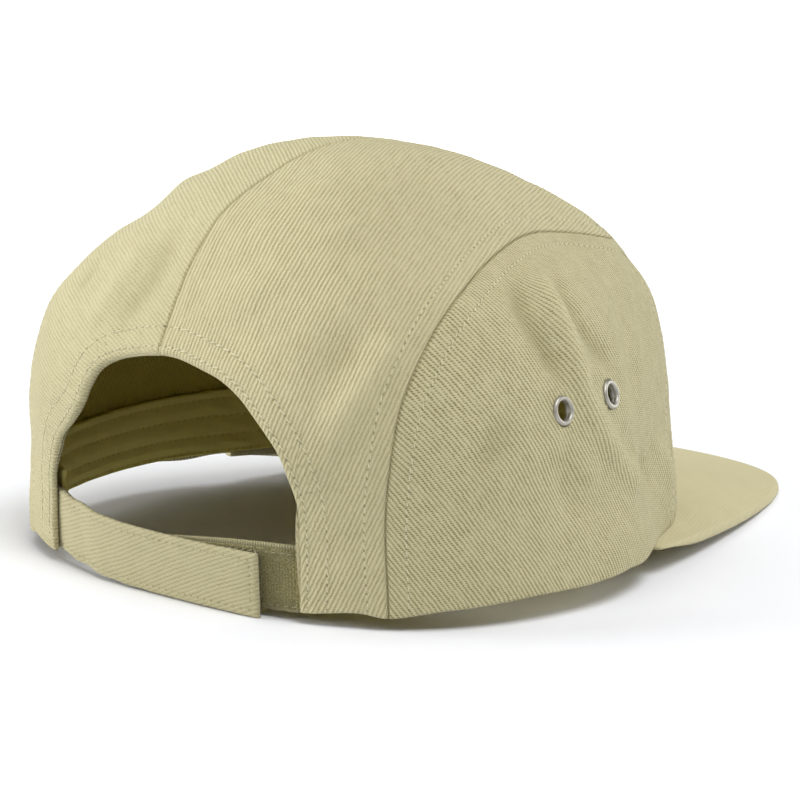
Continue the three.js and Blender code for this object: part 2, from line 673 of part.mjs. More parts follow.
// The origin is under the middle of the cap, on the surface that it stands on.
const standing = new THREE.Group();
standing.add(cap);
standing.updateMatrixWorld(true);
const box = new THREE.Box3().setFromObject(cap, true);
cap.position.set(-(box.min.x + box.max.x) / 2, -(box.min.y + box.max.y) / 2, -box.min.z);
standing.updateMatrixWorld(true);

export default standing;
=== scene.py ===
import math

import bpy
import numpy as np
from mathutils import Matrix, Vector

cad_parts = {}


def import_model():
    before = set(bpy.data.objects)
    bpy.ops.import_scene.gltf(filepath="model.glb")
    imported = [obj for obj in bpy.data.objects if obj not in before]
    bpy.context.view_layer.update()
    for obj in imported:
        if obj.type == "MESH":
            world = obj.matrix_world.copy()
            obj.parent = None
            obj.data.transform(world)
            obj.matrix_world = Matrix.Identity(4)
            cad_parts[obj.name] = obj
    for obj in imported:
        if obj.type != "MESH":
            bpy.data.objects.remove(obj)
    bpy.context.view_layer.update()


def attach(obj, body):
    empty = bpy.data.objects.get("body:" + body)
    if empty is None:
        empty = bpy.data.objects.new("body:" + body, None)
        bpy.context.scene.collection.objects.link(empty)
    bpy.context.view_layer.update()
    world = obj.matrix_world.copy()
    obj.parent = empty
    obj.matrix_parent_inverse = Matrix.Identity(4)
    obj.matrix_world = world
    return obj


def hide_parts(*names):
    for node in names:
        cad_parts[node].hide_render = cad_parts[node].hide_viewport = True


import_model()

# The view: the cap from behind and to its right, a little above the table, through a long lens. Its place
# is measured from the middle of the cap's rim, in millimetres, and leans with the rim, which dips to the
# front because the cap stands on its peak's front edge and on the back of its strap.
RIM_LEAN = math.radians(-2.5615)
RIM_PLACE = (0.0, 43.935, 6.89)
EYE_TURN = math.radians(219.877)
EYE_RISE = math.radians(13.6765)
EYE_DISTANCE = 975.49
AIM_RIGHT = 14.457
AIM_UP = 34.754
LENS = 155.81
stand = Matrix.Translation(Vector(RIM_PLACE) / 1000) @ Matrix.Rotation(RIM_LEAN, 4, "X")
away = Vector((
    math.sin(EYE_TURN) * math.cos(EYE_RISE),
    -math.cos(EYE_TURN) * math.cos(EYE_RISE),
    math.sin(EYE_RISE),
))
rightward = Vector((math.cos(EYE_TURN), math.sin(EYE_TURN), 0))
upward = away.cross(rightward)
eye = AIM_RIGHT * rightward + AIM_UP * upward + EYE_DISTANCE * away
camera = bpy.data.objects.new("view", bpy.data.cameras.new("view"))
camera.data.lens = LENS
camera.data.sensor_width = 36
camera.data.clip_start = 0.05
camera.matrix_world = stand @ Matrix.LocRotScale(
    eye / 1000, Matrix((rightward, upward, away)).transposed(), None
)
scene = bpy.context.scene
scene.collection.objects.link(camera)
scene.camera = camera
for unused in ("Cube", "Light", "Camera"):
    if unused in bpy.data.objects:
        bpy.data.objects.remove(bpy.data.objects[unused])

# The table: a plain white surface that the cap stands on, in even white surroundings. Five soft lamps stand
# round the cap: low at its left and right, over it on both sides, and behind it; two more light the table
# beyond the peak, where the surface would otherwise fall into shade.
FLOOR_WHITE = (0.91, 0.92, 0.96, 1)
FLOOR_SIZE = 7.0
FLOOR_ROUGHNESS = 0.9
SKY_WHITE = (1.0, 1.0, 1.0, 1)
SKY_STRENGTH = 0.08
LAMPS = [  # name, place, aimed at, width, spread in degrees, power
    ("left", (1.31, 1.18, 0.37), (0, 0, 0), 0.9, 180, 25),
    ("above", (-0.79, 0.3, 1.59), (0, 0, 0), 0.9, 180, 22.5),
    ("right", (-0.69, -1.62, 0.37), (0, 0, 0), 0.9, 180, 14),
    ("overhead", (0.85, 0.0, 1.59), (0, 0, 0), 0.9, 180, 8),
    ("behind", (-0.24, 1.36, 1.16), (0, 0, 0), 0.9, 180, 2.5),
    ("far", (0.95, -1.15, 1.3), (1.0, -1.2, 0), 1.0, 100, 12),
    ("farther", (1.5, -1.8, 1.3), (1.5, -1.8, 0), 1.6, 110, 34),
]
scene.view_settings.view_transform = "Standard"
table = bpy.data.meshes.new("table")
corners = [(x * FLOOR_SIZE / 2, y * FLOOR_SIZE / 2, 0) for x, y in ((-1, -1), (1, -1), (1, 1), (-1, 1))]
table.from_pydata(corners, [], [(0, 1, 2, 3)])
table = bpy.data.objects.new("table", table)
scene.collection.objects.link(table)
table_paint = bpy.data.materials.new("table white")
table_paint.use_nodes = True
table_paint.node_tree.nodes["Principled BSDF"].inputs["Base Color"].default_value = FLOOR_WHITE
table_paint.node_tree.nodes["Principled BSDF"].inputs["Roughness"].default_value = FLOOR_ROUGHNESS
table.data.materials.append(table_paint)
for name, place, aim, width, spread, power in LAMPS:
    light = bpy.data.lights.new(name, "AREA")
    light.size, light.energy, light.spread = width, power, math.radians(spread)
    lamp = bpy.data.objects.new(name, light)
    lamp.location = place
    lamp.rotation_euler = (Vector(aim) - Vector(place)).to_track_quat("-Z", "Y").to_euler()
    scene.collection.objects.link(lamp)
sky = bpy.data.worlds.new("surroundings")
sky.use_nodes = True
sky.node_tree.nodes["Background"].inputs["Color"].default_value = SKY_WHITE
sky.node_tree.nodes["Background"].inputs["Strength"].default_value = SKY_STRENGTH
scene.world = sky


# The front panel: one piece of cotton twill, low and nearly upright over the peak, sewn to the side panels
# at its two edges and to the two back panels along its top. The whole crown is one soft form, which this
# section describes first: every spot of it has a turn from the front and a rise from the rim.
FRONT_REACH = 102.0
BACK_REACH = 75.4
HALF_WIDTH = 90.5
CROWN_HEIGHT = 109.0
BACK_CORNERS = 0.081
TEMPLE_PINCH = 0.053
TEMPLE_TURN = 59.0
TEMPLE_SPREAD = 16.7
CLOTH = 1.7
HEM_WAVE = 1.6
FRONT_PANEL_TURN = 50.0
FRONT_PANEL_RISE = 52.0
FULLNESS = {
    "front": [1, 1.028, 1.09, 1.084, 1.031, 1, 1],
    "side": [1, 0.968, 1.007, 1.025, 0.969, 1.008, 1],
    "back": [1, 1.059, 1.162, 1.151, 1.117, 1.032, 1],
}
HEM = np.array([  # turn, lift as a share of HEM_WAVE
    (0, -0.9), (30, -0.4), (50, 0.2), (68, 0.1), (75, -0.3), (83, 0.3), (92, 0.4), (107, 1), (122, 0.5),
    (133, -0.5), (138, 0.2), (148, -0.5), (180, -0.5),
])
FOLDS = [  # turn, rise, half length, half width and depth as shares of CROWN_HEIGHT, lean
    (88, 40, 0.2, 0.05, 0.01, -14), (74, 15, 0.2, 0.06, 0.013, -40), (96, 20, 0.24, 0.07, -0.009, -26),
    (66, 30, 0.2, 0.055, -0.01, -18), (52, 9, 0.13, 0.09, 0.016, 0), (27, 33, 0.09, 0.12, 0.014, 0),
    (31, 24, 0.07, 0.14, -0.006, 0), (126, 16, 0.1, 0.07, 0.006, 10), (142, 26, 0.2, 0.05, -0.007, 12),
    (231, 38, 0.1, 0.14, 0.014, 0), (232, 57, 0.07, 0.16, -0.003, 0), (238, 65, 0.05, 0.14, 0.014, 0),
    (270, 30, 0.2, 0.06, 0.01, 16), (292, 16, 0.2, 0.06, 0.011, 34),
]
SIDE_SEAM = [  # turn, rise, from the hem over the side panel to the front panel's upper corner
    (132.73, 0), (133.2, 13.2), (132.8, 21), (130.7, 31.2), (128.3, 35.8), (121.5, 43.9), (115.3, 48.4),
    (102.5, 54.7), (83.9, 58.8), (65.3, 58.8), (54.7, 56.2), (46.5, 51.9), (38.3, 47.3), (30.2, 43.53),
]
FRONT_SEAM = [(0, 0), (0.17, 0.2), (0.42, 0.44), (0.72, 0.71), (0.9, 0.86), (1, 1)]
TOP_SEAM = [(0, 0), (0.25, 0.06), (0.5, 0.26), (0.75, 0.58), (1, 1)]
CREASES = [  # soft creases: spots along each as turn and rise, half width and depth in mm
    ([(79.2, 54), (86.2, 49), (88.8, 45), (89.5, 40.8), (89.8, 35.8), (88.5, 30.8), (85.2, 25.2),
      (79.5, 19.2), (71, 11.5)], 3.6, 1.1),
    ([(92.8, 54.2), (98.2, 45), (96.5, 39.8), (94.5, 35), (92.2, 30.2)], 4.2, -0.9),
    ([(76.5, 53.2), (83.5, 47.5), (84, 42.5), (81.2, 38.2), (77, 34.5), (75, 29.8)], 3.8, -0.9),
    ([(105.2, 30.2), (103, 27), (101.2, 24)], 3.5, -0.3),
    ([(93.8, 26.2), (90.2, 18.8), (88, 14)], 3.5, 0.45),
    ([(100, 25.8), (95.8, 17), (93.8, 7.2)], 4, -0.4),
    ([(118, 28.8), (113, 26), (108, 23.2)], 9, -0.6),
    ([(59.2, 20.8), (51.2, 10.2), (52.2, 4)], 4, 0.6),
    ([(70, 20.8), (61.5, 9.5), (61, 2.8)], 2.5, -0.7),
    ([(142.5, 22.5), (141, 31), (135.8, 36), (131, 40.5), (124.5, 45.5)], 5, 0.8),
    ([(145.5, 33.8), (138.8, 41.5), (134.5, 45.8)], 7, -0.6),
    ([(199.8, 57.5), (200.2, 49.8), (201.8, 43), (204.5, 36.2)], 5, 0.7),
    ([(195.8, 60.5), (190.2, 50), (193, 43.5), (195.2, 38.2)], 5, -0.7),
    ([(215.2, 52.2), (215.2, 45.2), (215, 39)], 5, -0.6),
    ([(163.5, 68.2), (153, 70.8), (138.2, 71.5)], 3, 0.35),
    ([(149.5, 59), (141.5, 61.5), (132, 63.8)], 3.5, 0.35),
    ([(172, 48.2), (161.2, 49.8), (150, 51.2)], 5, 0.45),
    ([(203.5, 70.2), (197.2, 75.5), (177.2, 79)], 5, -0.12),
    ([(278, 50), (276, 38), (284, 24), (294, 8)], 5, 0.8),
    ([(268, 50), (266, 38), (273, 22)], 5, -0.7),
]
CREASE_DEPTH = 1.9
CREASE_END = 14  # length over which a crease comes up from the cloth at each end, mm
PRESSED_FLAT = 0.85  # how much of a crease an eyelet's ring presses flat
PRESSED_WIDE = 6.5
DENT_DEPTH = 0.5  # how deep an eyelet's ring dents the cloth, mm
DENT_WIDE = 5.0
LOW_CLOTH = 8  # height under which no trough shows, because the sewn hem keeps the cloth flat, mm
FREE_CLOTH = 26  # height over which the troughs have their whole depth, mm
UNEVENNESS = 0.055
STITCH_SINK = 0.13  # how deep a row of stitches pulls the cloth in, mm
TOPSTITCH = 5.4  # distance of the rows of stitches from a seam, mm
STITCH_PITCH = 2.3
WALE_PITCH = 1.12
WEFT_PITCH = 0.59
NEAR_EDGE = np.array([0, 0.12, 0.28, 0.46, 0.7, 1.0, 1.4, 2.0, 2.7, 3.6, 4.4, 5.0, 5.4, 5.8, 6.5, 7.6, 9.0])
KHAKI = (0.60, 0.55, 0.335)
KHAKI_DEEP = (0.25, 0.215, 0.085)
# Painted shade: the inner face's darker, more saturated khaki stands in for the shade and bounced light
# inside the crown.
KHAKI_INSIDE_SHADE = (0.50, 0.41, 0.075)
THREAD = (0.74, 0.69, 0.46)
chance = np.random.default_rng(5)


def toned(colour, by):
    return tuple(x * by for x in colour)


def ease(x):
    x = np.clip(x, 0, 1)
    return x * x * (3 - 2 * x)


def eased(keys, values, at):
    """The value at a place along the keys, easing from key to key."""
    i = np.clip(np.searchsorted(keys, at), 1, len(keys) - 1)
    share = ease((at - keys[i - 1]) / (keys[i] - keys[i - 1]))
    return values[i - 1] + (values[i] - values[i - 1]) * share


def fullness(column, rise):
    rows = np.array(FULLNESS[column], float)
    x = np.clip(rise / (math.pi / 2) * 6, 0, 6 - 1e-9)
    i = np.floor(x).astype(int)
    f = x - i
    a, b, c, d = (rows[np.clip(i + k, 0, 6)] for k in (-1, 0, 1, 2))
    return 0.5 * (2 * b + (c - a) * f + (2 * a - 5 * b + 4 * c - d) * f**2 + (3 * b - a - 3 * c + d) * f**3)


def spot(turn, rise):
    """The crown seen from above as a flat disc, with the rim at 1 and the top at 0."""
    turn, rise = np.radians(turn), np.asarray(rise, float)
    return np.stack([-np.sin(turn), -np.cos(turn)], -1) * (1 - rise / 90)[..., None]


def turn_of(spots):
    return np.degrees(np.arctan2(-spots[..., 0], -spots[..., 1]))


def rise_of(spots):
    return 90 * (1 - np.hypot(spots[..., 0], spots[..., 1]))


def bare_crown(spots, proud=0.0):
    turn, rise = np.radians(turn_of(spots)), np.radians(rise_of(spots))

    def reach(column, length):
        return fullness(column, rise) / np.hypot(np.cos(rise) / length, np.sin(rise) / CROWN_HEIGHT)

    ahead = np.cos(turn) > 0
    deep = np.where(ahead, reach("front", FRONT_REACH), reach("back", BACK_REACH))
    pinch = TEMPLE_PINCH * np.exp(-(((np.abs(np.degrees(turn)) - TEMPLE_TURN) / TEMPLE_SPREAD) ** 2))
    corner = np.where(ahead, 0, BACK_CORNERS) * np.sin(2 * turn) ** 2 * np.cos(rise) ** 2
    oval = 1 / np.hypot(np.cos(turn) / deep, np.sin(turn) / reach("side", HALF_WIDTH))
    r = oval * (1 + corner) * (1 - pinch * np.cos(rise) ** 2) + proud
    return np.stack([
        -r * np.cos(rise) * np.sin(turn), -r * np.cos(rise) * np.cos(turn), r * np.sin(rise)
    ], -1)


def fold_depth(turn, rise):
    depth = np.zeros(np.shape(turn))
    for at_turn, at_rise, long, wide, deep, lean in FOLDS:
        around = np.radians((turn - at_turn + 540) % 360 - 180) * np.cos(np.radians(rise))
        above = np.radians(rise - at_rise)
        c, s = math.cos(math.radians(lean)), math.sin(math.radians(lean))
        along, across = (above * c + around * s) / long, (around * c - above * s) / wide
        depth += deep * CROWN_HEIGHT * np.exp(-(along**2) - across**2)
    return np.where(depth < 0, depth * np.clip(rise / 22, 0, 1) ** 2, depth)


def hem_lift(turn):
    return HEM_WAVE * eased(HEM[:, 0], HEM[:, 1], np.abs((turn + 540) % 360 - 180))


def crown(spots):
    """Places on the crown's outer face, with its folds, in millimetres from the rim's middle."""
    turn, rise = turn_of(spots), rise_of(spots)
    place = bare_crown(spots, fold_depth(turn, rise))
    place[..., 2] += hem_lift(turn) * np.clip(1 - rise / 15, 0, 1) ** 2
    return place


def slopes(spots, form=crown):
    step = 1e-3
    return [
        (form(spots + np.array(way) * step) - form(spots - np.array(way) * step)) / (2 * step)
        for way in ((1, 0), (0, 1))
    ]


def unit(vectors):
    return vectors / np.maximum(np.linalg.norm(vectors, axis=-1, keepdims=True), 1e-12)


def outward(spots):
    a, b = slopes(spots)
    normal = np.cross(a, b)
    normal *= np.where((normal * bare_crown(spots)).sum(-1) < 0, -1, 1)[..., None]
    normal = unit(normal)
    normal[..., 2] *= np.clip(rise_of(spots) / 12, 0, 1)
    return unit(normal)


def smooth_line(knots, per=24):
    """A smooth line through the knots."""
    k = np.asarray(knots, float)
    k = np.vstack([2 * k[0] - k[1], k, 2 * k[-1] - k[-2]])
    line = []
    for a, b, c, d in zip(k, k[1:], k[2:], k[3:]):
        h = [math.sqrt(max(np.linalg.norm(q - p), 1e-9)) for p, q in ((a, b), (b, c), (c, d))]
        m = ((b - a) / h[0] - (c - a) / (h[0] + h[1]) + (c - b) / h[1]) * h[1]
        n = ((c - b) / h[1] - (d - b) / (h[1] + h[2]) + (d - c) / h[2]) * h[1]
        t = np.linspace(0, 1, per, endpoint=False)[:, None]
        line.append(b + m * t + (3 * (c - b) - 2 * m - n) * t**2 + (2 * (b - c) + m + n) * t**3)
    return np.vstack([*line, k[-2:-1]])


def runs(points):
    """How far along a line each of its points lies."""
    return np.concatenate([[0], np.cumsum(np.linalg.norm(np.diff(points, axis=0), axis=-1))])


def evenly(line, count=400, form=bare_crown):
    """The line's spots again, evenly spaced in space."""
    run = runs(form(line))
    at = np.linspace(0, run[-1], count)
    return np.stack([np.interp(at, run, line[:, i]) for i in range(2)], -1)


def steps(length, coarse):
    """Shares of a length, close together near its ends, where the cloth is rolled and stitched."""
    high = length - NEAR_EDGE[::-1]
    middle = np.linspace(NEAR_EDGE[-1], high[0], max(2, round((high[0] - NEAR_EDGE[-1]) / coarse) + 1))
    return np.concatenate([NEAR_EDGE, middle[1:-1], high]) / length


def filled(hem, top, start, end, across, up):
    """A grid of spots between four edges. hem and top run from start to end, start and end run upwards."""
    def at(line, shares):
        whole = np.linspace(0, 1, len(line))
        return np.stack([np.interp(shares, whole, line[:, i]) for i in range(2)], -1)

    u, v = across[None, :, None], up[:, None, None]
    sides = (1 - u) * at(start, up)[:, None] + u * at(end, up)[:, None]
    rims = (1 - v) * at(hem, across)[None] + v * at(top, across)[None]
    corners = (1 - v) * ((1 - u) * hem[0] + u * hem[-1]) + v * ((1 - u) * top[0] + u * top[-1])
    return sides + rims - corners


def beside(points, line):
    """Each point's distance to a line, and how far along the line its nearest place is."""
    flat, along, way = points.reshape(-1, 3), runs(line), np.diff(line, axis=0)
    square = (flat**2).sum(-1)[:, None] - 2 * flat @ line.T + (line**2).sum(-1)
    best, run = np.full(len(flat), 1e9), np.zeros(len(flat))
    for shift in (-1, 0):
        i = np.clip(square.argmin(-1) + shift, 0, len(way) - 1)
        length = np.maximum((way[i] ** 2).sum(-1), 1e-12)
        share = np.clip(((flat - line[i]) * way[i]).sum(-1) / length, 0, 1)
        gap = np.linalg.norm(flat - line[i] - way[i] * share[:, None], axis=-1)
        run = np.where(gap < best, along[i] + share * np.sqrt(length), run)
        best = np.minimum(gap, best)
    return best.reshape(points.shape[:-1]), run.reshape(points.shape[:-1])


WAVES = [
    {"way": unit(chance.normal(size=3)) * 2 * math.pi / length, "phase": chance.uniform(0, 6.3)}
    for length in (46, 39, 33, 28, 24, 21, 17, 15, 13, 11)
]


def unevenness(points):
    """The cloth's own soft unevenness, in millimetres."""
    return sum(UNEVENNESS * np.sin(points @ wave["way"] + wave["phase"]) for wave in WAVES)


def sunk_seam(gap, run, lip, row):
    """How far the outer face stands proud beside a seam: a narrow groove, the layers folded under it, and
    the row of stitches that holds them, if it has one."""
    groove = -0.85 * np.exp(-((gap / 0.3) ** 2)) + lip * np.exp(-(((gap - 1.0) / 0.6) ** 2))
    layers = 0.14 * ease((TOPSTITCH + 0.6 - gap) / 1.4)
    pull = 0.75 + 0.25 * np.cos(2 * math.pi * run / STITCH_PITCH)
    furrow = -STITCH_SINK * np.exp(-(((gap - TOPSTITCH) / 0.5) ** 2)) * pull if row else 0
    pucker = 0.04 * np.sin(run / 1.15 + 2 * np.sin(run / 9)) * np.exp(-gap / 5)
    return groove + layers + furrow + pucker


def creased(place):
    """The creases and soft folds that wear has left in the cloth, as heights."""
    proud = np.zeros(place.shape[:-1])
    for line, wide, deep in CREASES:
        path = crown(smooth_line(spot(*np.array(line, float).T), 8))
        gap, run = beside(place, path)
        whole = runs(path)[-1]
        end = min(CREASE_END, whole / 2)
        fade = ease(run / end) * ease((whole - run) / end)
        proud += CREASE_DEPTH * deep * np.exp(-((gap / wide) ** 2)) * fade
    risen = ease((place[..., 2] - LOW_CLOTH) / (FREE_CLOTH - LOW_CLOTH))
    return np.where(proud < 0, proud * risen, proud)


def rolled(gap, thickness):
    """How far a face is drawn back where the cloth is rolled over an edge."""
    half = thickness / 2
    return half * (1 - np.sqrt(np.clip(1 - np.clip(1 - gap / half, 0, 1) ** 2, 0, 1)))


def world(points):
    """Millimetres from the rim's middle as metres in the row's frame."""
    turned = np.array(stand.to_3x3())
    return points.reshape(-1, 3) / 1000 @ turned.T + np.array(stand.translation)


def make(name, points, faces, finish, attributes=()):
    mesh = bpy.data.meshes.new(name)
    mesh.from_pydata(world(points).tolist(), [], [list(map(int, f)) for f in faces])
    for key, values in attributes:
        values = np.asarray(values, np.float32)
        vector = values.ndim > 1
        layer = mesh.attributes.new(key, "FLOAT_VECTOR" if vector else "FLOAT", "POINT")
        layer.data.foreach_set("vector" if vector else "value", values.ravel())
    mesh.polygons.foreach_set("use_smooth", [True] * len(mesh.polygons))
    mesh.materials.append(finish)
    piece = bpy.data.objects.new(name, mesh)
    scene.collection.objects.link(piece)
    return piece


def grid_faces(rows, cols, first=0, closed=False):
    index = first + np.arange(rows * cols).reshape(rows, cols)
    if closed:
        index = np.concatenate([index, index[:, :1]], 1)
    return np.stack([index[:-1, :-1], index[:-1, 1:], index[1:, 1:], index[1:, :-1]], -1).reshape(-1, 4)


def shell_faces(rows, cols):
    """Faces of a closed sheet: an outer grid, an inner one, and the four edges between them."""
    outer = np.arange(rows * cols).reshape(rows, cols)
    ring = np.concatenate([outer[0], outer[1:, -1], outer[-1, -2::-1], outer[-2:0:-1, 0]])
    inner_ring = ring + rows * cols
    edge = np.stack([ring, inner_ring, np.roll(inner_ring, -1), np.roll(ring, -1)], -1)
    return np.concatenate([grid_faces(rows, cols), grid_faces(rows, cols, rows * cols)[:, ::-1], edge])


def turned_out(points, faces, normal):
    """The faces, turned over if the first of them looks inwards."""
    a, b, c = (points.reshape(-1, 3)[faces[0][i]] for i in range(3))
    looks = np.dot(np.cross(b - a, c - b), normal.reshape(-1, 3)[faces[0][0]])
    return faces[:, ::-1] if looks < 0 else faces


def flattened(outer, normals, up_from, up_to, **way):
    """Where each spot of a sheet lies when the sheet is laid flat, in millimetres, up_from and up_to being
    two of its grid places, the second straight above the first."""
    rows, cols = outer.shape[:2]
    mesh = bpy.data.meshes.new("flat")
    mesh.from_pydata(outer.reshape(-1, 3).tolist(), [], grid_faces(rows, cols).tolist())
    flat = bpy.data.objects.new("flat", mesh)
    scene.collection.objects.link(flat)
    bpy.ops.object.select_all(action="DESELECT")
    bpy.context.view_layer.objects.active = flat
    flat.select_set(True)
    mesh.uv_layers.new(name="flat")
    bpy.ops.object.mode_set(mode="EDIT")
    bpy.ops.mesh.select_all(action="SELECT")
    bpy.ops.uv.unwrap(**{"method": "ANGLE_BASED", "margin": 0, **way})
    bpy.ops.object.mode_set(mode="OBJECT")
    corner_uv = np.zeros(len(mesh.loops) * 2, np.float32)
    mesh.uv_layers["flat"].data.foreach_get("uv", corner_uv)
    corner = np.zeros(len(mesh.loops), np.int32)
    mesh.loops.foreach_get("vertex_index", corner)
    uv = np.zeros((rows * cols, 2))
    uv[corner] = corner_uv.reshape(-1, 2)
    uv = uv.reshape(rows, cols, 2)
    bpy.data.objects.remove(flat)
    r, c = rows // 2, cols // 2
    a, b = outer[r, c + 1] - outer[r, c], outer[r + 1, c] - outer[r, c]
    d, e = uv[r, c + 1] - uv[r, c], uv[r + 1, c] - uv[r, c]
    if np.dot(np.cross(a, b), normals[r, c]) * (d[0] * e[1] - d[1] * e[0]) < 0:
        uv[..., 0] *= -1
    size = np.linalg.norm(np.diff(outer, axis=1), axis=-1).sum()
    size /= np.linalg.norm(np.diff(uv, axis=1), axis=-1).sum()
    up = uv[up_to] - uv[up_from]
    up /= np.linalg.norm(up)
    return np.stack([uv @ np.array([up[1], -up[0]]), uv @ up], -1) * size


class Wire:
    """One socket of a finish's nodes. Arithmetic on it adds Math nodes."""

    def __init__(self, tree, socket=None):
        self.tree, self.socket = tree, socket

    def node(self, kind, settings=None, values=None, output=0):
        """Any node: its settings first, then the values or links of its sockets."""
        node = self.tree.nodes.new(kind)
        for name, value in (settings or {}).items():
            if name == "stops":
                for stop, (at, colour) in zip(node.color_ramp.elements, value):
                    stop.position, stop.color = at, (*colour, 1)
            else:
                setattr(node, name, value)
        for name, value in (values or {}).items():
            if isinstance(value, Wire):
                self.tree.links.new(value.socket, node.inputs[name])
            else:
                node.inputs[name].default_value = value
        return Wire(self.tree, node.outputs[output])

    def math(self, operation, *values):
        return self.node("ShaderNodeMath", {"operation": operation}, dict(enumerate(values)))

    def __add__(self, other):
        return self.math("ADD", self, other)

    def __radd__(self, other):
        return self.math("ADD", other, self)

    def __sub__(self, other):
        return self.math("SUBTRACT", self, other)

    def __rsub__(self, other):
        return self.math("SUBTRACT", other, self)

    def __mul__(self, other):
        return self.math("MULTIPLY", self, other)

    def __rmul__(self, other):
        return self.math("MULTIPLY", other, self)

    def __truediv__(self, other):
        return self.math("DIVIDE", self, other)

    def __rtruediv__(self, other):
        return self.math("DIVIDE", other, self)

    def __pow__(self, other):
        return self.math("POWER", self, other)

    def wave(self):
        """From 0 to 1 and back as the value grows by 1."""
        return self.math("COSINE", self * (2 * math.pi)) * 0.5 + 0.5

    def step(self, low, high):
        values = {0: self, 1: low, 2: high, 3: 0.0, 4: 1.0}
        return self.node("ShaderNodeMapRange", {"interpolation_type": "SMOOTHSTEP"}, values)

    def attribute(self, name, output="Fac"):
        return self.node("ShaderNodeAttribute", {"attribute_name": name}, output=output)

    def parts(self):
        """The first two numbers of a vector."""
        first = self.node("ShaderNodeSeparateXYZ", values={0: self})
        return first, Wire(self.tree, first.socket.node.outputs[1])

    def bump(self, deep):
        """The slopes of a relief whose height goes from 0 to 1 over a depth in millimetres."""
        values = {"Height": self, "Distance": deep / 1000, "Strength": 1.0}
        return self.node("ShaderNodeBump", values=values)

    def noise(self, where, scale, detail=2.0, rough=0.5):
        values = {"Vector": where, "Scale": scale, "Detail": detail, "Roughness": rough}
        return self.node("ShaderNodeTexNoise", {"noise_dimensions": "3D"}, values)

    def mix(self, share, a, b, how="MIX"):
        a, b = ((*c, 1) if isinstance(c, tuple) else c for c in (a, b))
        settings = {"data_type": "RGBA", "blend_type": how}
        return self.node("ShaderNodeMix", settings, {0: share, 6: a, 7: b}, 2)


def finish_of(name, roughness=0.9, **fixed):
    """A new material, a wire to start its nodes from, and its shader."""
    finish = bpy.data.materials.new(name)
    finish.use_nodes = True
    shader = finish.node_tree.nodes["Principled BSDF"]
    shader.inputs["Roughness"].default_value = roughness
    for socket, value in fixed.items():
        shader.inputs[socket.replace("_", " ")].default_value = value
    return finish, Wire(finish.node_tree), shader


def feed(wire, shader, **links):
    for socket, link in links.items():
        wire.tree.links.new(link.socket, shader.inputs[socket.replace("_", " ")])


def twill(name, angle, pitch=WALE_PITCH, relief=0.16, contrast=1.0, stitched=True, tone=1.0):
    """Cotton twill: slanting wales of short floats with dotted grooves between them, laid over the place that
    each spot of the cloth has when the cloth lies flat. The ridges of the creases get a painted highlight and
    their troughs painted shade, the needle holes get painted shade, and the cloth's inner face gets a darker,
    more saturated khaki as painted shade inside the crown."""
    sheen = {"Specular_IOR_Level": 0.25, "Sheen_Weight": 0.08, "Sheen_Roughness": 0.5}
    finish, wire, shader = finish_of(name, 0.92, **sheen)
    grain = wire.attribute("grain", "Vector")
    p, q = grain.parts()
    c, s = math.cos(math.radians(angle)), math.sin(math.radians(angle))
    speck = wire.noise(grain, 2.4, 1.0)
    bend = (wire.noise(grain, 0.05, 1.0) - 0.5) * 1.1 + (wire.noise(grain, 0.55, 1.0) - 0.5) * 0.4
    bend = bend + (wire.noise(grain, 1.3, 1.0) - 0.5) * 0.42
    across, along = (q * c - p * s + bend) / pitch, p * c + q * s
    lengthwise = wire.node("ShaderNodeCombineXYZ", values={0: across, 1: along * 0.16})
    slub = wire.noise(lengthwise, 0.9, 2.0, 0.6)
    rub = wire.noise(grain, 0.2, 3.0, 0.6)
    wale = across.wave()
    groove = (1 - wale) ** 1.5
    crossing = (q / WEFT_PITCH + (speck - 0.5) * 0.6).wave()
    dark = groove * (0.2 + crossing * 0.85) * (0.2 + slub * 1.5) * (0.35 + rub * 1.3)
    float_ends = (across * 0.5 + along / (WEFT_PITCH * 2.4)).wave() * 0.12
    height = wale * (0.75 + slub * 0.4) + float_ends - crossing * groove * 0.35 + (speck - 0.5) * 0.3
    shade = dark * (1.15 * contrast) + (0.5 - speck) * 0.4 * contrast + 0.5 * (1 - contrast) * 0.3
    cloudy = wire.noise(grain, 0.035, 3.0, 0.6)
    deep = toned(KHAKI_DEEP, tone)
    base = wire.mix(shade.math("MAXIMUM", shade, 0.0), toned(KHAKI, tone), deep)
    base = wire.mix((cloudy - 0.35) * 0.3, base, toned(KHAKI, 0.82 * tone))
    # Painted shade in the troughs of the creases and painted highlight on their ridges, read from the crease
    # relief.
    crease_relief_and_shade = wire.attribute("crease_relief_and_shade")
    base = wire.mix((crease_relief_and_shade * -1).step(0.0, 1.0) * 0.34, base, deep)
    base = wire.mix(crease_relief_and_shade.step(0.1, 1.2) * 0.3, base, toned(KHAKI, 1.12))
    # Painted shade on the inner face: it takes the darker inside khaki wherever the inside share says so.
    base = wire.mix(wire.attribute("inner"), base, wire.mix(dark * 0.25, KHAKI_INSIDE_SHADE, KHAKI_DEEP))
    if stitched:
        gap, run = wire.attribute("row_gap"), wire.attribute("row_run")
        near = 1 - wire.math("ABSOLUTE", gap).step(0.1, 0.32)
        hole = (run / STITCH_PITCH + (slub - 0.5) * 0.3).wave().step(0.8, 0.98) * near
        height = height - hole * 1.2
        # Painted shade in the needle holes: a darker khaki where the needle went through.
        base = wire.mix(hole * 0.5, base, toned(KHAKI_DEEP, 0.6))
    feed(wire, shader, Base_Color=base, Normal=height.bump(relief))
    return finish


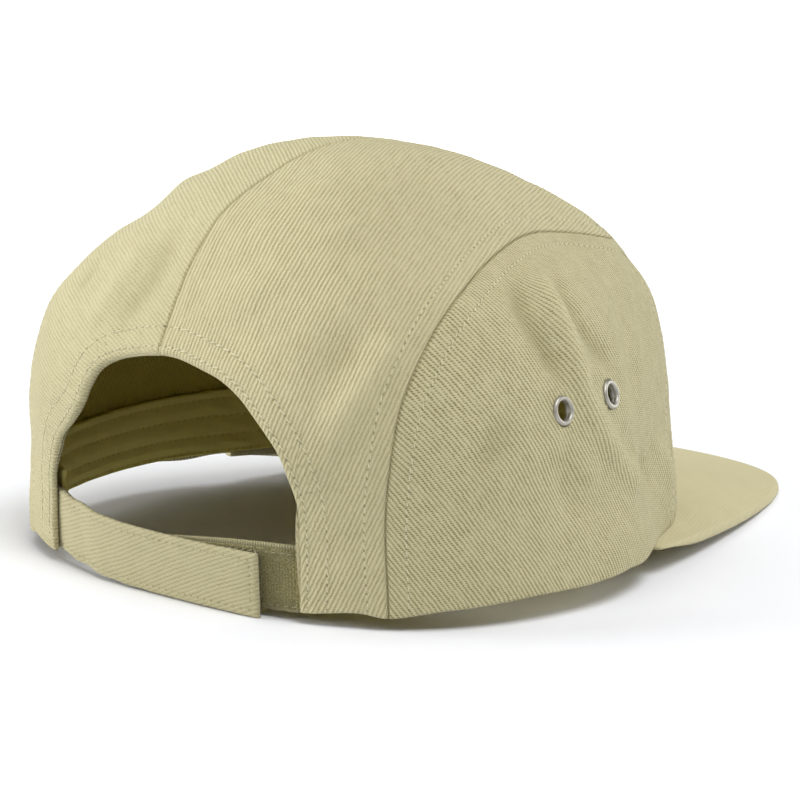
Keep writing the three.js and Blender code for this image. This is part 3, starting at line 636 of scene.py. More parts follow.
def shell_piece(name, outer, inner, normals, finish, attributes, inside_shade_share=0.0):
    """A closed sheet of cloth from its two faces; the last argument says where the inner face gets the darker
    khaki of painted shade.
    """
    rows, cols = outer.shape[:2]
    points = np.concatenate([outer.reshape(-1, 3), inner.reshape(-1, 3)])
    faces = turned_out(points, shell_faces(rows, cols), normals)
    doubled = [(key, np.concatenate([v.reshape(rows * cols, -1)] * 2).squeeze()) for key, v in attributes]
    inside = np.broadcast_to(inside_shade_share, (rows, cols)).ravel()
    doubled.append(("inner", np.concatenate([np.zeros(rows * cols), inside])))
    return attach(make(name, points, faces, finish, doubled), "root")


def grain_of(flat):
    return np.concatenate([flat, np.zeros((*flat.shape[:-1], 1))], -1)


def dressed(spots, seams, edges=(), presses=()):
    """The two faces of a crown panel over its spots, with its seams, rolled edges and stitches. A seam is a
    line of spots with its lip and, if it is stitched, its row; an edge has its thickness and rows. The marks
    tell the twill where the stitches run and how high each place stands in a crease, which the twill turns
    into painted highlight on the ridges and painted shade in the troughs. The presses are the places of
    eyelets, which press the cloth down."""
    place, normals = crown(spots), outward(spots)
    crease_relief_and_shade = creased(place)
    dents = [np.linalg.norm(place - at, axis=-1) for at in presses]
    for gap in dents:
        crease_relief_and_shade *= 1 - PRESSED_FLAT * np.exp(-((gap / PRESSED_WIDE) ** 2))
    proud = unevenness(place) + crease_relief_and_shade
    row_gap, row_run = np.full(place.shape[:2], 9.0), np.zeros(place.shape[:2])
    depth, drawn_in = np.full(place.shape[:2], CLOTH), np.zeros(place.shape[:2])
    # The share of painted shade on the inner face: all of it, except near rolled edges, where the outer face
    # is turned in.
    inside_shade_share = np.ones(place.shape[:2])
    rows = []
    for seam in seams:
        gap, run = beside(place, crown(seam["line"]))
        proud += sunk_seam(gap, run, seam.get("lip", 0.06), seam.get("row", True))
        rows += [(gap - TOPSTITCH, run)] * seam.get("row", True)
    for edge in edges:
        gap, run = beside(place, crown(edge["line"]))
        above = ease((place[..., 2] - edge.get("from", -99)) / 8)
        thick = CLOTH + (edge["thick"] - CLOTH) * above * (1 - ease((gap - 9) / 2))
        depth = np.maximum(depth, thick)
        roll = rolled(gap, thick)
        proud -= roll
        drawn_in += roll
        inside_shade_share = np.minimum(inside_shade_share, ease((gap - (9 if edge["rows"] else 1)) / 0.8))
        for row in edge["rows"]:
            proud -= STITCH_SINK * np.exp(-(((gap - row) / 0.5) ** 2))
            rows.append((gap - row, run))
    for gap, run in rows:
        closer = np.abs(gap) < np.abs(row_gap)
        row_gap, row_run = np.where(closer, gap, row_gap), np.where(closer, run, row_run)
    for gap in dents:
        proud -= DENT_DEPTH * np.exp(-((gap / DENT_WIDE) ** 2))
    outer = place + normals * proud[..., None]
    inner = place - normals * (depth - drawn_in - np.minimum(crease_relief_and_shade, 0))[..., None]
    # The crease relief also goes to the twill, which paints highlight on the ridges and shade in the troughs.
    marks = [("row_gap", row_gap), ("row_run", row_run), ("crease_relief_and_shade", crease_relief_and_shade / CREASE_DEPTH)]
    return outer, inner, normals, inside_shade_share, marks


def stitch_row(line, gap, toward):
    """Spots along a row of stitches beside a line of spots, toward being a spot on the row's side."""
    place, normals = crown(line), outward(line)
    along = unit(np.gradient(place, axis=0))
    aside = unit(np.cross(normals, along))
    middle = crown(toward[None])[0]
    aside *= math.copysign(1, (aside * (middle - place)).sum())
    a, b = slopes(line)
    aa, ab, bb = (a * a).sum(-1), (a * b).sum(-1), (b * b).sum(-1)
    am, bm = (a * aside).sum(-1) * gap, (b * aside).sum(-1) * gap
    det = aa * bb - ab * ab
    moved = line + np.stack([(am * bb - bm * ab) / det, (bm * aa - am * ab) / det], -1)
    return moved, runs(place)


def tube(spine, side, up, thick, first):
    """Points and faces of a six-sided thread along a spine, closed at both ends, its points being numbered
    from first. Seen along the spine, up lies a quarter turn on from side."""
    ring = np.linspace(0, 2 * math.pi, 6, endpoint=False)[:, None]
    across = np.cos(ring) * side[..., None, :] + np.sin(ring) * up[..., None, :]
    points = spine[:, None] + np.broadcast_to(thick, len(spine))[:, None, None] * across
    last = first + 6 * len(spine) - 6
    ends = [(first + 3, first + 2, first + 1, first), (first + 5, first + 4, first + 3, first)]
    ends += [(last, last + 1, last + 2, last + 3), (last, last + 3, last + 4, last + 5)]
    return points.reshape(-1, 3), np.concatenate([grid_faces(len(spine), 6, first, closed=True), ends])


def stitches(name, rows, finish, radius=0.16, share=0.7):
    """Short threads that lie on the cloth between their needle holes. Each row has places, outward
    directions and a run along it in millimetres."""
    points, faces = [], []
    reach = np.linspace(-0.5, 0.5, 6) * STITCH_PITCH * share
    bow = 1 - (np.abs(reach) / (STITCH_PITCH * share / 2)) ** 3
    sway = 0.17 * np.sin(np.linspace(-1.5, 1.5, 6))
    thick = radius * np.array([0.55, 0.95, 1.0, 1.0, 0.95, 0.55])
    for row in rows:
        place, normal, run = row["place"], row["normal"], row["run"]
        for k in range(int(run[0] / STITCH_PITCH) + 1, int(run[-1] / STITCH_PITCH) - 1):
            wobble = chance.normal(0, 0.05, 2)
            at = (k + 0.5) * STITCH_PITCH + reach + wobble[0]
            spine = np.stack([np.interp(at, run, place[:, i]) for i in range(3)], -1)
            up = unit(np.stack([np.interp(at, run, normal[:, i]) for i in range(3)], -1))
            side = unit(np.cross(up, unit(np.gradient(spine, axis=0))))
            spine = spine + up * (radius * (bow * 1.1 - 0.75))[:, None] + side * (wobble[1] + sway)[:, None]
            block, around = tube(spine, side, up, thick, len(points) * 36)
            points.append(block)
            faces.append(around)
    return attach(make(name, np.concatenate(points), np.concatenate(faces), finish), "root")


def cotton_thread(name, colour=THREAD):
    finish, wire, shader = finish_of(name, 0.75, Sheen_Weight=0.2)
    where = wire.node("ShaderNodeTexCoord", output=3)
    ply = wire.noise(where, 2600.0, 2.0)
    base = wire.mix(ply * 0.5, colour, toned(colour, 0.72))
    feed(wire, shader, Base_Color=base, Normal=ply.bump(0.06))
    return finish


def mirrored(spots):
    return spots * np.array([-1, 1])


def row_on(line, gap, toward, keep=(0.0, 1.0), lift=0.0):
    """A row of stitches on the dressed crown, at a distance from a seam or an edge."""
    moved, run = stitch_row(line, gap, toward)
    part = slice(int(len(run) * keep[0]), int(len(run) * keep[1]))
    place, normal = crown(moved), outward(moved)
    place = place + normal * (unevenness(place) + creased(place) - 0.02 + lift)[:, None]
    return {"place": place[part], "normal": normal[part], "run": run[part]}


side_seam = evenly(smooth_line(spot(*np.array(SIDE_SEAM).T)))
seam_foot = SIDE_SEAM[0][0]
corner_turn, corner_rise = SIDE_SEAM[-1]
over, up = np.array(FRONT_SEAM).T
turns = FRONT_PANEL_TURN + (corner_turn - FRONT_PANEL_TURN) * over
front_seam = evenly(smooth_line(spot(turns, up * corner_rise)))
over, down = np.array(TOP_SEAM).T
rises = FRONT_PANEL_RISE + (corner_rise - FRONT_PANEL_RISE) * down
top_seam = evenly(smooth_line(spot(over * corner_turn, rises)))


def hem_line(start, end):
    return spot(np.linspace(start, end, 400), np.zeros(400))


whole_top = evenly(np.concatenate([mirrored(top_seam)[::-1], top_seam[1:]]))
front_hem = hem_line(-FRONT_PANEL_TURN, FRONT_PANEL_TURN)
front_spots = filled(
    front_hem, whole_top, mirrored(front_seam), front_seam, steps(150, 1.5), steps(95, 1.5)
)
front_seams = [{"line": front_seam}, {"line": mirrored(front_seam)}, {"line": whole_top}]
front_edges = [{"line": front_hem, "thick": CLOTH, "rows": []}]
outer, inner, normals, inside_shade_share, marks = dressed(front_spots, front_seams, front_edges)
mid = front_spots.shape[1] // 2
front_flat = flattened(outer, normals, (4, mid), (front_spots.shape[0] // 2, mid))
front_cloth = shell_piece(
    "front_panel_cloth", outer, inner, normals, twill("front panel twill", 60),
    [("grain", grain_of(front_flat)), *marks], inside_shade_share,
)
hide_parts("front_panel")
thread = cotton_thread("khaki thread")
rows = [
    row_on(line, TOPSTITCH, spot(0, rise), (0.02, 0.97))
    for line, rise in ((front_seam, 30), (mirrored(front_seam), 30), (whole_top, 20))
]
stitches("front_panel_stitches", rows, thread)

# The side panels, right and left: a tall piece of the same twill over each ear, with its upper edge sewn to
# the back panel and a row of stitches on each side of the seam. Each has two holes for eyelets.
EYELET_HEIGHT = 47.3
EYELETS_AT = (8.2, -14.2)  # behind and before the cap's middle
EYELET_WIDTH = 8.0
EYELET_HOLE = 5.3
PUNCH_RADIUS = 3.1
PUNCH_REACH = 6.0
PUNCH_SIDES = 40
BACK_SHARE = 5 / 13  # share of the side seam that forms the panel's back edge, the rest being its top
SIDE_TWILL = {"right": -57, "left": 57}
side_middle = spot(90, 30)


def spot_at(y, z, guess):
    """The spot of the bare crown at a height and a distance behind the middle."""
    at = guess.copy()
    for _ in range(30):
        place, (a, b) = bare_crown(at), slopes(at, bare_crown)
        move = np.linalg.solve([[a[1], b[1]], [a[2], b[2]]], [y - place[1], z - place[2]])
        at += move * min(1, 0.08 / max(np.linalg.norm(move), 1e-9))
    return at


corner = int(len(side_seam) * BACK_SHARE)
side_spots = filled(
    hem_line(seam_foot, FRONT_PANEL_TURN), side_seam[corner:], side_seam[:corner + 1], front_seam,
    steps(150, 1.4), steps(88, 1.4),
)
eyelet_spots = {
    (side, where): spot_at(y, EYELET_HEIGHT, spot(sign * (88 + y / 2), 30))
    for side, sign in (("right", 1), ("left", -1))
    for where, y in zip(("back", "front"), EYELETS_AT)
}
for side, sign in (("right", 1), ("left", -1)):
    flip = (lambda spots: spots) if sign > 0 else mirrored
    spots = flip(side_spots)
    presses = [crown(at[None])[0] for (of, where), at in eyelet_spots.items() if of == side]
    outer, inner, normals, inside_shade_share, marks = dressed(
        spots,
        [{"line": flip(side_seam), "lip": 0.02}, {"line": flip(front_seam)}],
        [{"line": hem_line(sign * seam_foot, sign * FRONT_PANEL_TURN), "thick": CLOTH, "rows": []}],
        presses,
    )
    mid = spots.shape[1] // 2
    flat = flattened(outer, normals, (4, mid), (spots.shape[0] // 2, mid))
    finish = twill(f"side panel twill {side}", SIDE_TWILL[side], contrast=1.15)
    cloth = shell_piece(
        f"side_panel_{side}_cloth", outer, inner, normals, finish, [("grain", grain_of(flat)), *marks], inside_shade_share
    )
    for (of, where), at in eyelet_spots.items():
        if of != side:
            continue
        around = np.linspace(0, 2 * math.pi, PUNCH_SIDES, endpoint=False)
        rims = [
            (PUNCH_RADIUS / 1000 * math.cos(a), PUNCH_RADIUS / 1000 * math.sin(a), z)
            for z in (-PUNCH_REACH / 1000, PUNCH_REACH / 1000) for a in around
        ]
        walls = grid_faces(2, PUNCH_SIDES, closed=True).tolist()
        lids = [tuple(range(PUNCH_SIDES - 1, -1, -1)), tuple(range(PUNCH_SIDES, 2 * PUNCH_SIDES))]
        drill = bpy.data.meshes.new("punch")
        drill.from_pydata(rims, [], [*walls, *lids])
        punch = bpy.data.objects.new("punch", drill)
        scene.collection.objects.link(punch)
        centre, away_from = crown(at[None])[0], outward(at[None])[0]
        punch.matrix_world = Matrix.Translation(Vector(world(centre)[0])) @ (
            (stand.to_3x3() @ Vector(away_from)).to_track_quat("Z", "Y").to_matrix().to_4x4()
        )
        cut = cloth.modifiers.new("hole", "BOOLEAN")
        cut.operation, cut.solver, cut.object = "DIFFERENCE", "EXACT", punch
        bpy.context.view_layer.objects.active = cloth
        bpy.ops.object.modifier_apply(modifier="hole")
        bpy.data.objects.remove(punch)
    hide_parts(f"side_panel_{side}")
    rows = [
        row_on(flip(side_seam), TOPSTITCH, flip(side_middle), (0.0, 0.975)),
        row_on(flip(front_seam), TOPSTITCH, flip(side_middle), (0.02, 0.93)),
    ]
    stitches(f"side_panel_{side}_stitches", rows, thread)

# The eyelets, two in each side panel: a ring of satin nickel rolled over the cloth, a short tube through the
# hole, and a flat washer that it is clenched over inside.
EYELET_ROLL = 0.95
EYELET_SIDES = 56
EYELET_SUNK = 0.32
NICKEL = (0.52, 0.50, 0.44)
metal, wire, shader = finish_of("satin nickel", 0.42, Metallic=1.0)
where = wire.node("ShaderNodeTexCoord", output=3)
scuffs = wire.noise(where, 900.0, 3.0, 0.6)
feed(
    wire, shader,
    Base_Color=wire.mix(scuffs * 0.5, NICKEL, toned(NICKEL, 0.8)),
    Roughness=0.42 + scuffs * 0.2,
    Normal=scuffs.bump(0.02),
)
hole, edge = EYELET_HOLE / 2, EYELET_WIDTH / 2
roll_angle = np.linspace(-0.25 * math.pi, 1.18 * math.pi, 16)
roll_middle, roll_radius = (hole + edge) / 2, (edge - hole) / 2
washer = [(hole + 0.6, -1.9), (edge - 0.2, -1.9), (edge - 0.2, -1.6), (hole + 0.8, -1.6), (hole + 0.5, -0.35)]
roll_height = (EYELET_ROLL - 0.1) * np.sin(roll_angle) * np.where(roll_angle > 0, 1, 0.5)
rolled_ring = np.stack([roll_middle + roll_radius * np.cos(roll_angle), 0.02 + roll_height], -1)
profile = np.array([*washer, *rolled_ring, (hole, -0.5)])
for (side, where_), at in eyelet_spots.items():
    centre, axis = crown(at[None])[0], outward(at[None])[0]
    proud = unevenness(centre) + creased(centre[None])[0] * (1 - PRESSED_FLAT)
    centre = centre + axis * (proud - EYELET_SUNK)
    one = unit(np.cross(axis, [0, 0, 1.0]))
    two = np.cross(axis, one)
    around = np.linspace(0, 2 * math.pi, EYELET_SIDES, endpoint=False)[None, :, None]
    spokes = np.cos(around) * one + np.sin(around) * two
    points = centre + profile[:, None, :1] * spokes + profile[:, None, 1:] * axis
    faces = grid_faces(len(profile) + 1, EYELET_SIDES, closed=True)[:, ::-1] % (len(profile) * EYELET_SIDES)
    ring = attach(make(f"eyelet_{side}_{where_}_ring", points, faces, metal), "root")
    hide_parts(f"eyelet_{side}_{where_}")

# The back panels, right and left: they run from the arch and the hem up over the head to the front panel,
# and meet in a seam over the middle. The arch's edge is turned in twice and held by two rows of stitches.
ARCH = {
    "right": [
        (180, 39.3), (175.3, 39.2), (169.3, 38), (164.2, 36.5), (159.8, 34.1), (156.7, 31.5), (153.8, 28.6),
        (151.5, 25.7), (149.8, 22.2), (148.5, 18.5), (147.9, 13.8), (148, 0),
    ],
    "left": [
        (180, 39.3), (188.1, 37.9), (192.6, 36.3), (195.3, 34.5), (197.1, 31.6), (198.9, 27.9), (202.3, 24.7),
        (207.2, 20.9), (210.7, 15.3), (211.6, 9.7), (212.6, 0),
    ],
}
ARCH_ROWS = (2.2, 7.6)
ARCH_THICK = {"right": 2.4, "left": 3.2}
BACK_WALES = {"right": (90, 1.15, 0.62), "left": (-30, 1.05, 0.45)}  # angle, pitch, depth of shade
WALE_BEND = {"right": 0.0012, "left": 0.0}  # how the cloth is pulled askew away from the arch
STRAIGHT_AT = 63  # height over the panel's foot where the wales aren't pulled askew, mm
ARCH_SHARE = 10 / 13  # share of the panel's lower edge that the arch takes, the rest being its hem
centre_seam = evenly(smooth_line([spot(180, 39.3), np.zeros(2), spot(0, FRONT_PANEL_RISE)]))
back_middle, back_top = spot(150, 62), spot(150, 80)
arch_lines = {side: evenly(smooth_line(spot(*np.array(knots, float).T))) for side, knots in ARCH.items()}
for side, sign in (("right", 1), ("left", -1)):
    flip = (lambda spots: spots) if sign > 0 else mirrored
    arch = arch_lines[side]
    foot = ARCH[side][-1][0]
    back_hem = hem_line(foot, seam_foot if sign > 0 else 360 - seam_foot)
    shares = np.linspace(0, 1, 400)
    on_arch = [np.interp(shares / ARCH_SHARE, shares, arch[:, i]) for i in range(2)]
    on_hem = [np.interp((shares - ARCH_SHARE) / (1 - ARCH_SHARE), shares, back_hem[:, i]) for i in range(2)]
    lower = np.where(shares < ARCH_SHARE, on_arch, on_hem).T
    across = np.unique(np.concatenate([
        steps(150, 1.7), ARCH_SHARE + NEAR_EDGE[:7] / 60, ARCH_SHARE - NEAR_EDGE[:7] / 120,
    ]).round(6))
    spots = filled(lower, flip(top_seam), centre_seam, flip(side_seam), across, steps(180, 1.6))
    outer, inner, normals, inside_shade_share, marks = dressed(
        spots,
        [
            {"line": flip(side_seam), "lip": 0.14},
            {"line": flip(top_seam)},
            {"line": centre_seam, "lip": 0.05, "row": False},
        ],
        [
            {"line": arch, "thick": ARCH_THICK[side], "rows": ARCH_ROWS, "from": 22},
            {"line": back_hem, "thick": CLOTH, "rows": []},
        ],
    )
    high = int(spots.shape[0] * 0.3)
    flat = flattened(outer, normals, (4, 0), (high, 0), method="MINIMUM_STRETCH", iterations=12)
    flat[..., 0] += WALE_BEND[side] * (flat[..., 1] - flat[..., 1].min() - STRAIGHT_AT) ** 2
    angle, pitch, contrast = BACK_WALES[side]
    finish = twill(f"back panel twill {side}", angle, pitch, contrast=contrast)
    cloth = shell_piece(
        f"back_panel_{side}_cloth", outer, inner, normals, finish, [("grain", grain_of(flat)), *marks], inside_shade_share
    )
    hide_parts(f"back_panel_{side}")
    rows = [
        row_on(flip(side_seam), TOPSTITCH, flip(back_middle), (0.0, 0.975), -0.08),
        row_on(flip(top_seam), TOPSTITCH, flip(back_top), (0.02, 0.93)),
        *[row_on(arch, gap, flip(back_middle), (0.0, 0.97)) for gap in ARCH_ROWS],
    ]
    stitches(f"back_panel_{side}_stitches", rows, thread)

# The peak: a stiff board with fine twill drawn over it above and below, rounded at its edge and sewn in
# under the front of the hem.
PEAK_LENGTH = 66.6
PEAK_WIDTH = 163.0
PEAK_CORNER_TURN = 65.0
PEAK_THICKNESS = 2.8
PEAK_DROP = 13.5
PEAK_BOW = 4.0
SEAM_GAP = 0.3
PEAK_COLS = 170
PEAK_TIP = -(FRONT_REACH + PEAK_LENGTH)
EDGE_ROUND = 2.0
EDGE_STEPS = [0, 0.03, 0.1, 0.22, 0.38, 0.6, 0.85, 1.15, 1.5, 2.0, 2.6, 3.4]
CORNER_SLIM = 0.35  # share of the peak's thickness left at its two corners
CORNER_LENGTH = 30
PUCKER_X = 76
PEAK_OUTLINE = np.array([
    (1, 0), (0.972, 0.09), (0.93, 0.2), (0.866, 0.35), (0.794, 0.5), (0.71, 0.65), (0.645, 0.75),
    (0.56, 0.85), (0.46, 0.925), (0.33, 0.972), (0.17, 0.994), (0, 1),
])
outline = np.concatenate([PEAK_OUTLINE, PEAK_OUTLINE[-2::-1] * np.array([-1, 1])])
peak_corner = bare_crown(spot(PEAK_CORNER_TURN, 0)[None])[0]
across, ahead = outline.T
root_height = -SEAM_GAP - PEAK_THICKNESS / 2
edge_line = smooth_line(np.stack([
    -across * PEAK_WIDTH / 2,
    peak_corner[1] + (PEAK_TIP - peak_corner[1]) * ahead,
    root_height - (root_height + PEAK_DROP) * ahead - PEAK_BOW * across**2 * ahead,
], -1))
run = runs(edge_line)
even = np.linspace(0, run[-1], PEAK_COLS)
outer_edge = np.stack([np.interp(even, run, edge_line[:, i]) for i in range(3)], -1)
inner_spots = spot(np.linspace(PEAK_CORNER_TURN, -PEAK_CORNER_TURN, PEAK_COLS), np.zeros(PEAK_COLS))
inner_edge = crown(inner_spots) - outward(inner_spots) * 1.08
inner_edge[:, 2] = hem_lift(turn_of(inner_spots)) + root_height
reach = np.linalg.norm(outer_edge - inner_edge, axis=-1)
longest = reach.max() + 0.01
from_edge = np.concatenate([EDGE_STEPS, np.linspace(4.5, longest, 38)])[::-1, None]
share = 1 - np.minimum(from_edge / np.maximum(reach, 1.0), from_edge / longest)
middle = inner_edge[None] + (outer_edge - inner_edge)[None] * share[..., None]
gap = reach[None] * (1 - share)
thick = PEAK_THICKNESS / 2 * np.sqrt(np.clip(1 - np.clip(1 - gap / EDGE_ROUND, 0, 1) ** 2, 0.0, 1))
from_corner = np.minimum(
    np.linalg.norm(middle - outer_edge[0], axis=-1), np.linalg.norm(middle - outer_edge[-1], axis=-1)
)
slim = CORNER_SLIM + (1 - CORNER_SLIM) * ease(from_corner / CORNER_LENGTH)
middle[..., 2] += (1 - slim) * (PEAK_THICKNESS / 2 + 0.15)
thick *= slim
sewn_in = 1.9 * ease(1 - (reach[None] - gap) / 1.2) * ease(gap / 12)
rub = unevenness(middle * 1.3) * 0.8 * ease(gap / 8)
fan = np.arctan2(middle[..., 1] - peak_corner[1], np.abs(middle[..., 0]) - PUCKER_X)
bunch = 0.16 * np.sin(fan * 9) * np.exp(-from_corner / 9)
upwards = np.array([0, 0, 1.0])
top = middle + (thick + sewn_in + (rub + bunch) * ease(gap / 3))[..., None] * upwards
bottom = middle - (thick + rub * 0.6 * ease(gap / 3))[..., None] * upwards
peak_twill = twill("peak twill", 113, relief=0.045, contrast=0.13, pitch=0.92, stitched=False)
grain = grain_of(middle[..., :2])
peak_cloth = shell_piece(
    "peak_cloth", top, bottom, np.broadcast_to(upwards, top.shape), peak_twill, [("grain", grain)]
)
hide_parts("peak")

# The straps across the arch: the left one, twill folded flat and stitched round, comes out from behind the
# cloth and laps over the right one, which is ribbed tape. Hook tape is sewn inside the left strap and loop
# tape outside the right one.
STRAP_WIDTH = 17.8
STRAP_THICKNESS = 2.0
HOOK_WIDTH = 16.0
HOOK_THICKNESS = 1.0
HOOK_LENGTH = 42.0
LOOP_STRAP_WIDTH = 18.6
LOOP_STRAP_THICKNESS = 1.2
LOOP_TAPE_WIDTH = 16.4
LOOP_TAPE_THICKNESS = 1.2
LOOP_STRAP_LENGTH = 62.0
LOOP_SHOWS = 10.0
STRAP_TUCK = 11.0
STRAP_ROW = 2.0
STRAP_RUN = np.array([  # share across the arch, height of the middle as a share of the width, out
    (-0.02, 0.466, 0), (0.12, 0.415, 0.4), (0.25, 0.355, 0.9), (0.37, 0.33, 1), (0.5, 0.32, 1),
    (0.75, 0.315, 1), (1, 0.29, 1),
])
SEWN_CLOTH = 1.8
STRAP_EDGE = np.array([0, 0.08, 0.22, 0.42, 0.7, 1.0, 1.4, 1.8, 2.2, 2.7])
CUT_LENGTH = 52  # length over which the cut of a strap's first end runs out, mm
left_foot, right_foot = 211.65, 148.02
arch_length = math.radians(left_foot - right_foot) * BACK_REACH
tucked = SEWN_CLOTH + SEAM_GAP
overlap = tucked - HOOK_THICKNESS - STRAP_THICKNESS - 2 * SEAM_GAP


def at_height(turn, height, depth):
    """Places beside the wall at a turn, a height above the rim and a depth under the outer face."""
    turn, height, depth = np.broadcast_arrays(*(np.asarray(x, float) for x in (turn, height, depth)))
    low, high = np.zeros(turn.shape), np.full(turn.shape, 80.0)
    for _ in range(26):
        half_way = (low + high) / 2
        under = bare_crown(spot(turn, half_way))[..., 2] < np.maximum(height, 0)
        low, high = np.where(under, half_way, low), np.where(under, high, half_way)
    at = spot(turn, low)
    place = crown(at) - outward(at) * depth[..., None]
    place[..., 2] = height
    return place


def strap_steps(width):
    return np.concatenate([STRAP_EDGE, np.linspace(3.4, width - 3.4, 9), width - STRAP_EDGE[::-1]])


def strap_piece(name, shares, middle_of, face_of, size, finish, end=1, row=STRAP_ROW, puff=0.12, cut=0.0):
    """A flat folded strap along the wall, its size being its width and thickness. end says whether its last
    end is free. cut is how far the upper corner of its first end and, behind the cloth, its lower edge are
    trimmed."""
    width, thickness = size
    turns = left_foot + (right_foot - left_foot) * shares
    up_ = strap_steps(width)
    height = middle_of(shares)[None] - width / 2 + up_[:, None]
    high = (up_ / width)[:, None]
    height = height - cut * high * ease(1 - (shares - shares[0]) * arch_length / CUT_LENGTH)[None]
    height = height + cut * (1 - high) * ease((shares - 0.985) / 0.03)[None]
    run = np.broadcast_to((shares * arch_length)[None], height.shape)
    edge = np.minimum(up_, width - up_)[:, None]
    tip = np.abs(shares[-1] - shares)[None] * arch_length if end else np.full((1, len(shares)), 99.0)
    gap = np.minimum(edge, tip)
    roll = rolled(gap, thickness)
    soft = puff * ease(gap / 4) - 0.12 * np.exp(-(((gap - row) / 0.4) ** 2))
    wavy = 0.05 * np.sin(run / 1.3 + 3 * np.sin(run / 7)) * np.exp(-edge / 3)
    depth = np.broadcast_to(face_of(shares)[None], height.shape)
    front = at_height(turns[None], height, depth + roll - soft - wavy)
    back = at_height(turns[None], height, depth + thickness - roll)
    out = unit(front - at_height(turns[None], height, depth + thickness + 3))
    flat = np.stack([run, np.broadcast_to(up_[:, None], run.shape), 0 * run], -1)
    side = np.where(edge < tip, run, up_[:, None] + 0 * run)
    marks = [("grain", flat), ("row_gap", gap - row), ("row_run", side)]
    return shell_piece(name, front, back, out, finish, marks), front, out


def strap_shares(start, stop, coarse=1.2, end=1):
    length = (stop - start) * arch_length
    last = length - STRAP_EDGE[::-1] if end else np.array([length])
    return start + np.concatenate([np.arange(0, last[0] - 0.3, coarse), last]) / arch_length


def strap_middle(shares):
    return STRAP_WIDTH * eased(STRAP_RUN[:, 0], STRAP_RUN[:, 1], shares)


def strap_face(shares):
    return tucked + (overlap - tucked) * eased(STRAP_RUN[:, 0], STRAP_RUN[:, 2], shares)


def loop_middle(shares):
    rise = 0.07 * ease((shares - 0.25) / 0.35) + 0.05 * np.clip((shares - 0.6) / 0.4, 0, 1)
    return STRAP_WIDTH * (0.29 + rise)


strap_end = 1 - LOOP_SHOWS / arch_length
tuck = STRAP_TUCK / arch_length
strap_twill = twill("strap twill", 26, pitch=1.08, relief=0.08, contrast=0.45, tone=0.86)
quiet_thread = cotton_thread("strap thread", toned(KHAKI, 0.9))
strap, strap_front, strap_out = strap_piece(
    "strap_cloth", strap_shares(-tuck, strap_end), strap_middle, strap_face, (STRAP_WIDTH, STRAP_THICKNESS),
    strap_twill,
)
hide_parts("strap")


def strap_rows(front, out, width, row, last=0.0):
    """Rows of stitches along a strap's two edges and, where last is given, along its free end."""
    up_ = strap_steps(width)
    rows = []
    for height in (row, width - row):
        i = int(np.argmin(np.abs(up_ - height)))
        rows.append({"place": front[i], "normal": out[i], "run": runs(front[i])})
    if last:
        distance = runs(front[len(up_) // 2])
        j = int(np.argmin(np.abs(distance[-1] - distance - last)))
        part = slice(7, len(up_) - 7)
        rows.append({"place": front[part, j], "normal": out[part, j], "run": runs(front[part, j])})
    return rows


rows = strap_rows(strap_front, strap_out, STRAP_WIDTH, STRAP_ROW, STRAP_ROW)
stitches("strap_stitches", rows, quiet_thread, radius=0.12, share=0.45)
TAPE_KHAKI = (0.50, 0.455, 0.25)
RIB_PITCH = 0.75
RIB_THREAD = 0.4
ribbed, wire, shader = finish_of("ribbed tape", 0.9)
grain = wire.attribute("grain", "Vector")
lengthwise, upwards = grain.parts()
rib = (lengthwise / RIB_PITCH + (wire.noise(grain, 1.5) - 0.5) * 0.3).wave()
rib = rib * 0.8 + (upwards / RIB_THREAD).wave() * 0.2
feed(
    wire, shader,
    Base_Color=wire.mix((1 - rib) * 0.6, TAPE_KHAKI, toned(TAPE_KHAKI, 0.5)),
    Normal=rib.bump(0.2),
)
loop_start = 1 - LOOP_STRAP_LENGTH / arch_length
loop_strap, *_ = strap_piece(
    "loop_strap_cloth", strap_shares(loop_start, 1 + tuck, end=0), loop_middle,
    lambda shares: np.full(len(shares), tucked + LOOP_TAPE_THICKNESS + SEAM_GAP),
    (LOOP_STRAP_WIDTH, LOOP_STRAP_THICKNESS), ribbed, end=0, puff=0.0, cut=4.0,
)
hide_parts("loop_strap")

OLIVE = (0.15, 0.125, 0.03)
OLIVE_LIGHT = (0.42, 0.38, 0.18)
PILE_PITCH = 0.8
PIN_PITCH = 1.1
pile, wire, shader = finish_of("loop pile", 1.0, Sheen_Weight=0.3)
grain = wire.attribute("grain", "Vector")
tufts = wire.noise(grain, 2.2, 3.0, 0.7)
ribs = (grain.parts()[0] / PILE_PITCH).wave()
feed(
    wire, shader,
    Base_Color=wire.mix(tufts.step(0.4, 0.75) + ribs * 0.12, OLIVE, toned(OLIVE_LIGHT, 1.25)),
    Normal=(tufts + ribs * 0.2).bump(0.4),
)
tape_shares = strap_shares(loop_start + 1 / arch_length, 1 + tuck, end=0)
loop_tape, tape_front, tape_out = strap_piece(
    "loop_tape_pile", tape_shares, loop_middle, lambda shares: np.full(len(shares), tucked),
    (LOOP_TAPE_WIDTH, LOOP_TAPE_THICKNESS), pile, end=0, row=1.2, puff=0.0, cut=3.2,
)
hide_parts("loop_tape")
FIBRES = 1500
FIBRE_RADIUS = 0.045
fibre_points, fibre_faces = [], []
shown = np.argmin(np.abs(tape_shares * arch_length - (strap_end * arch_length - 3)))
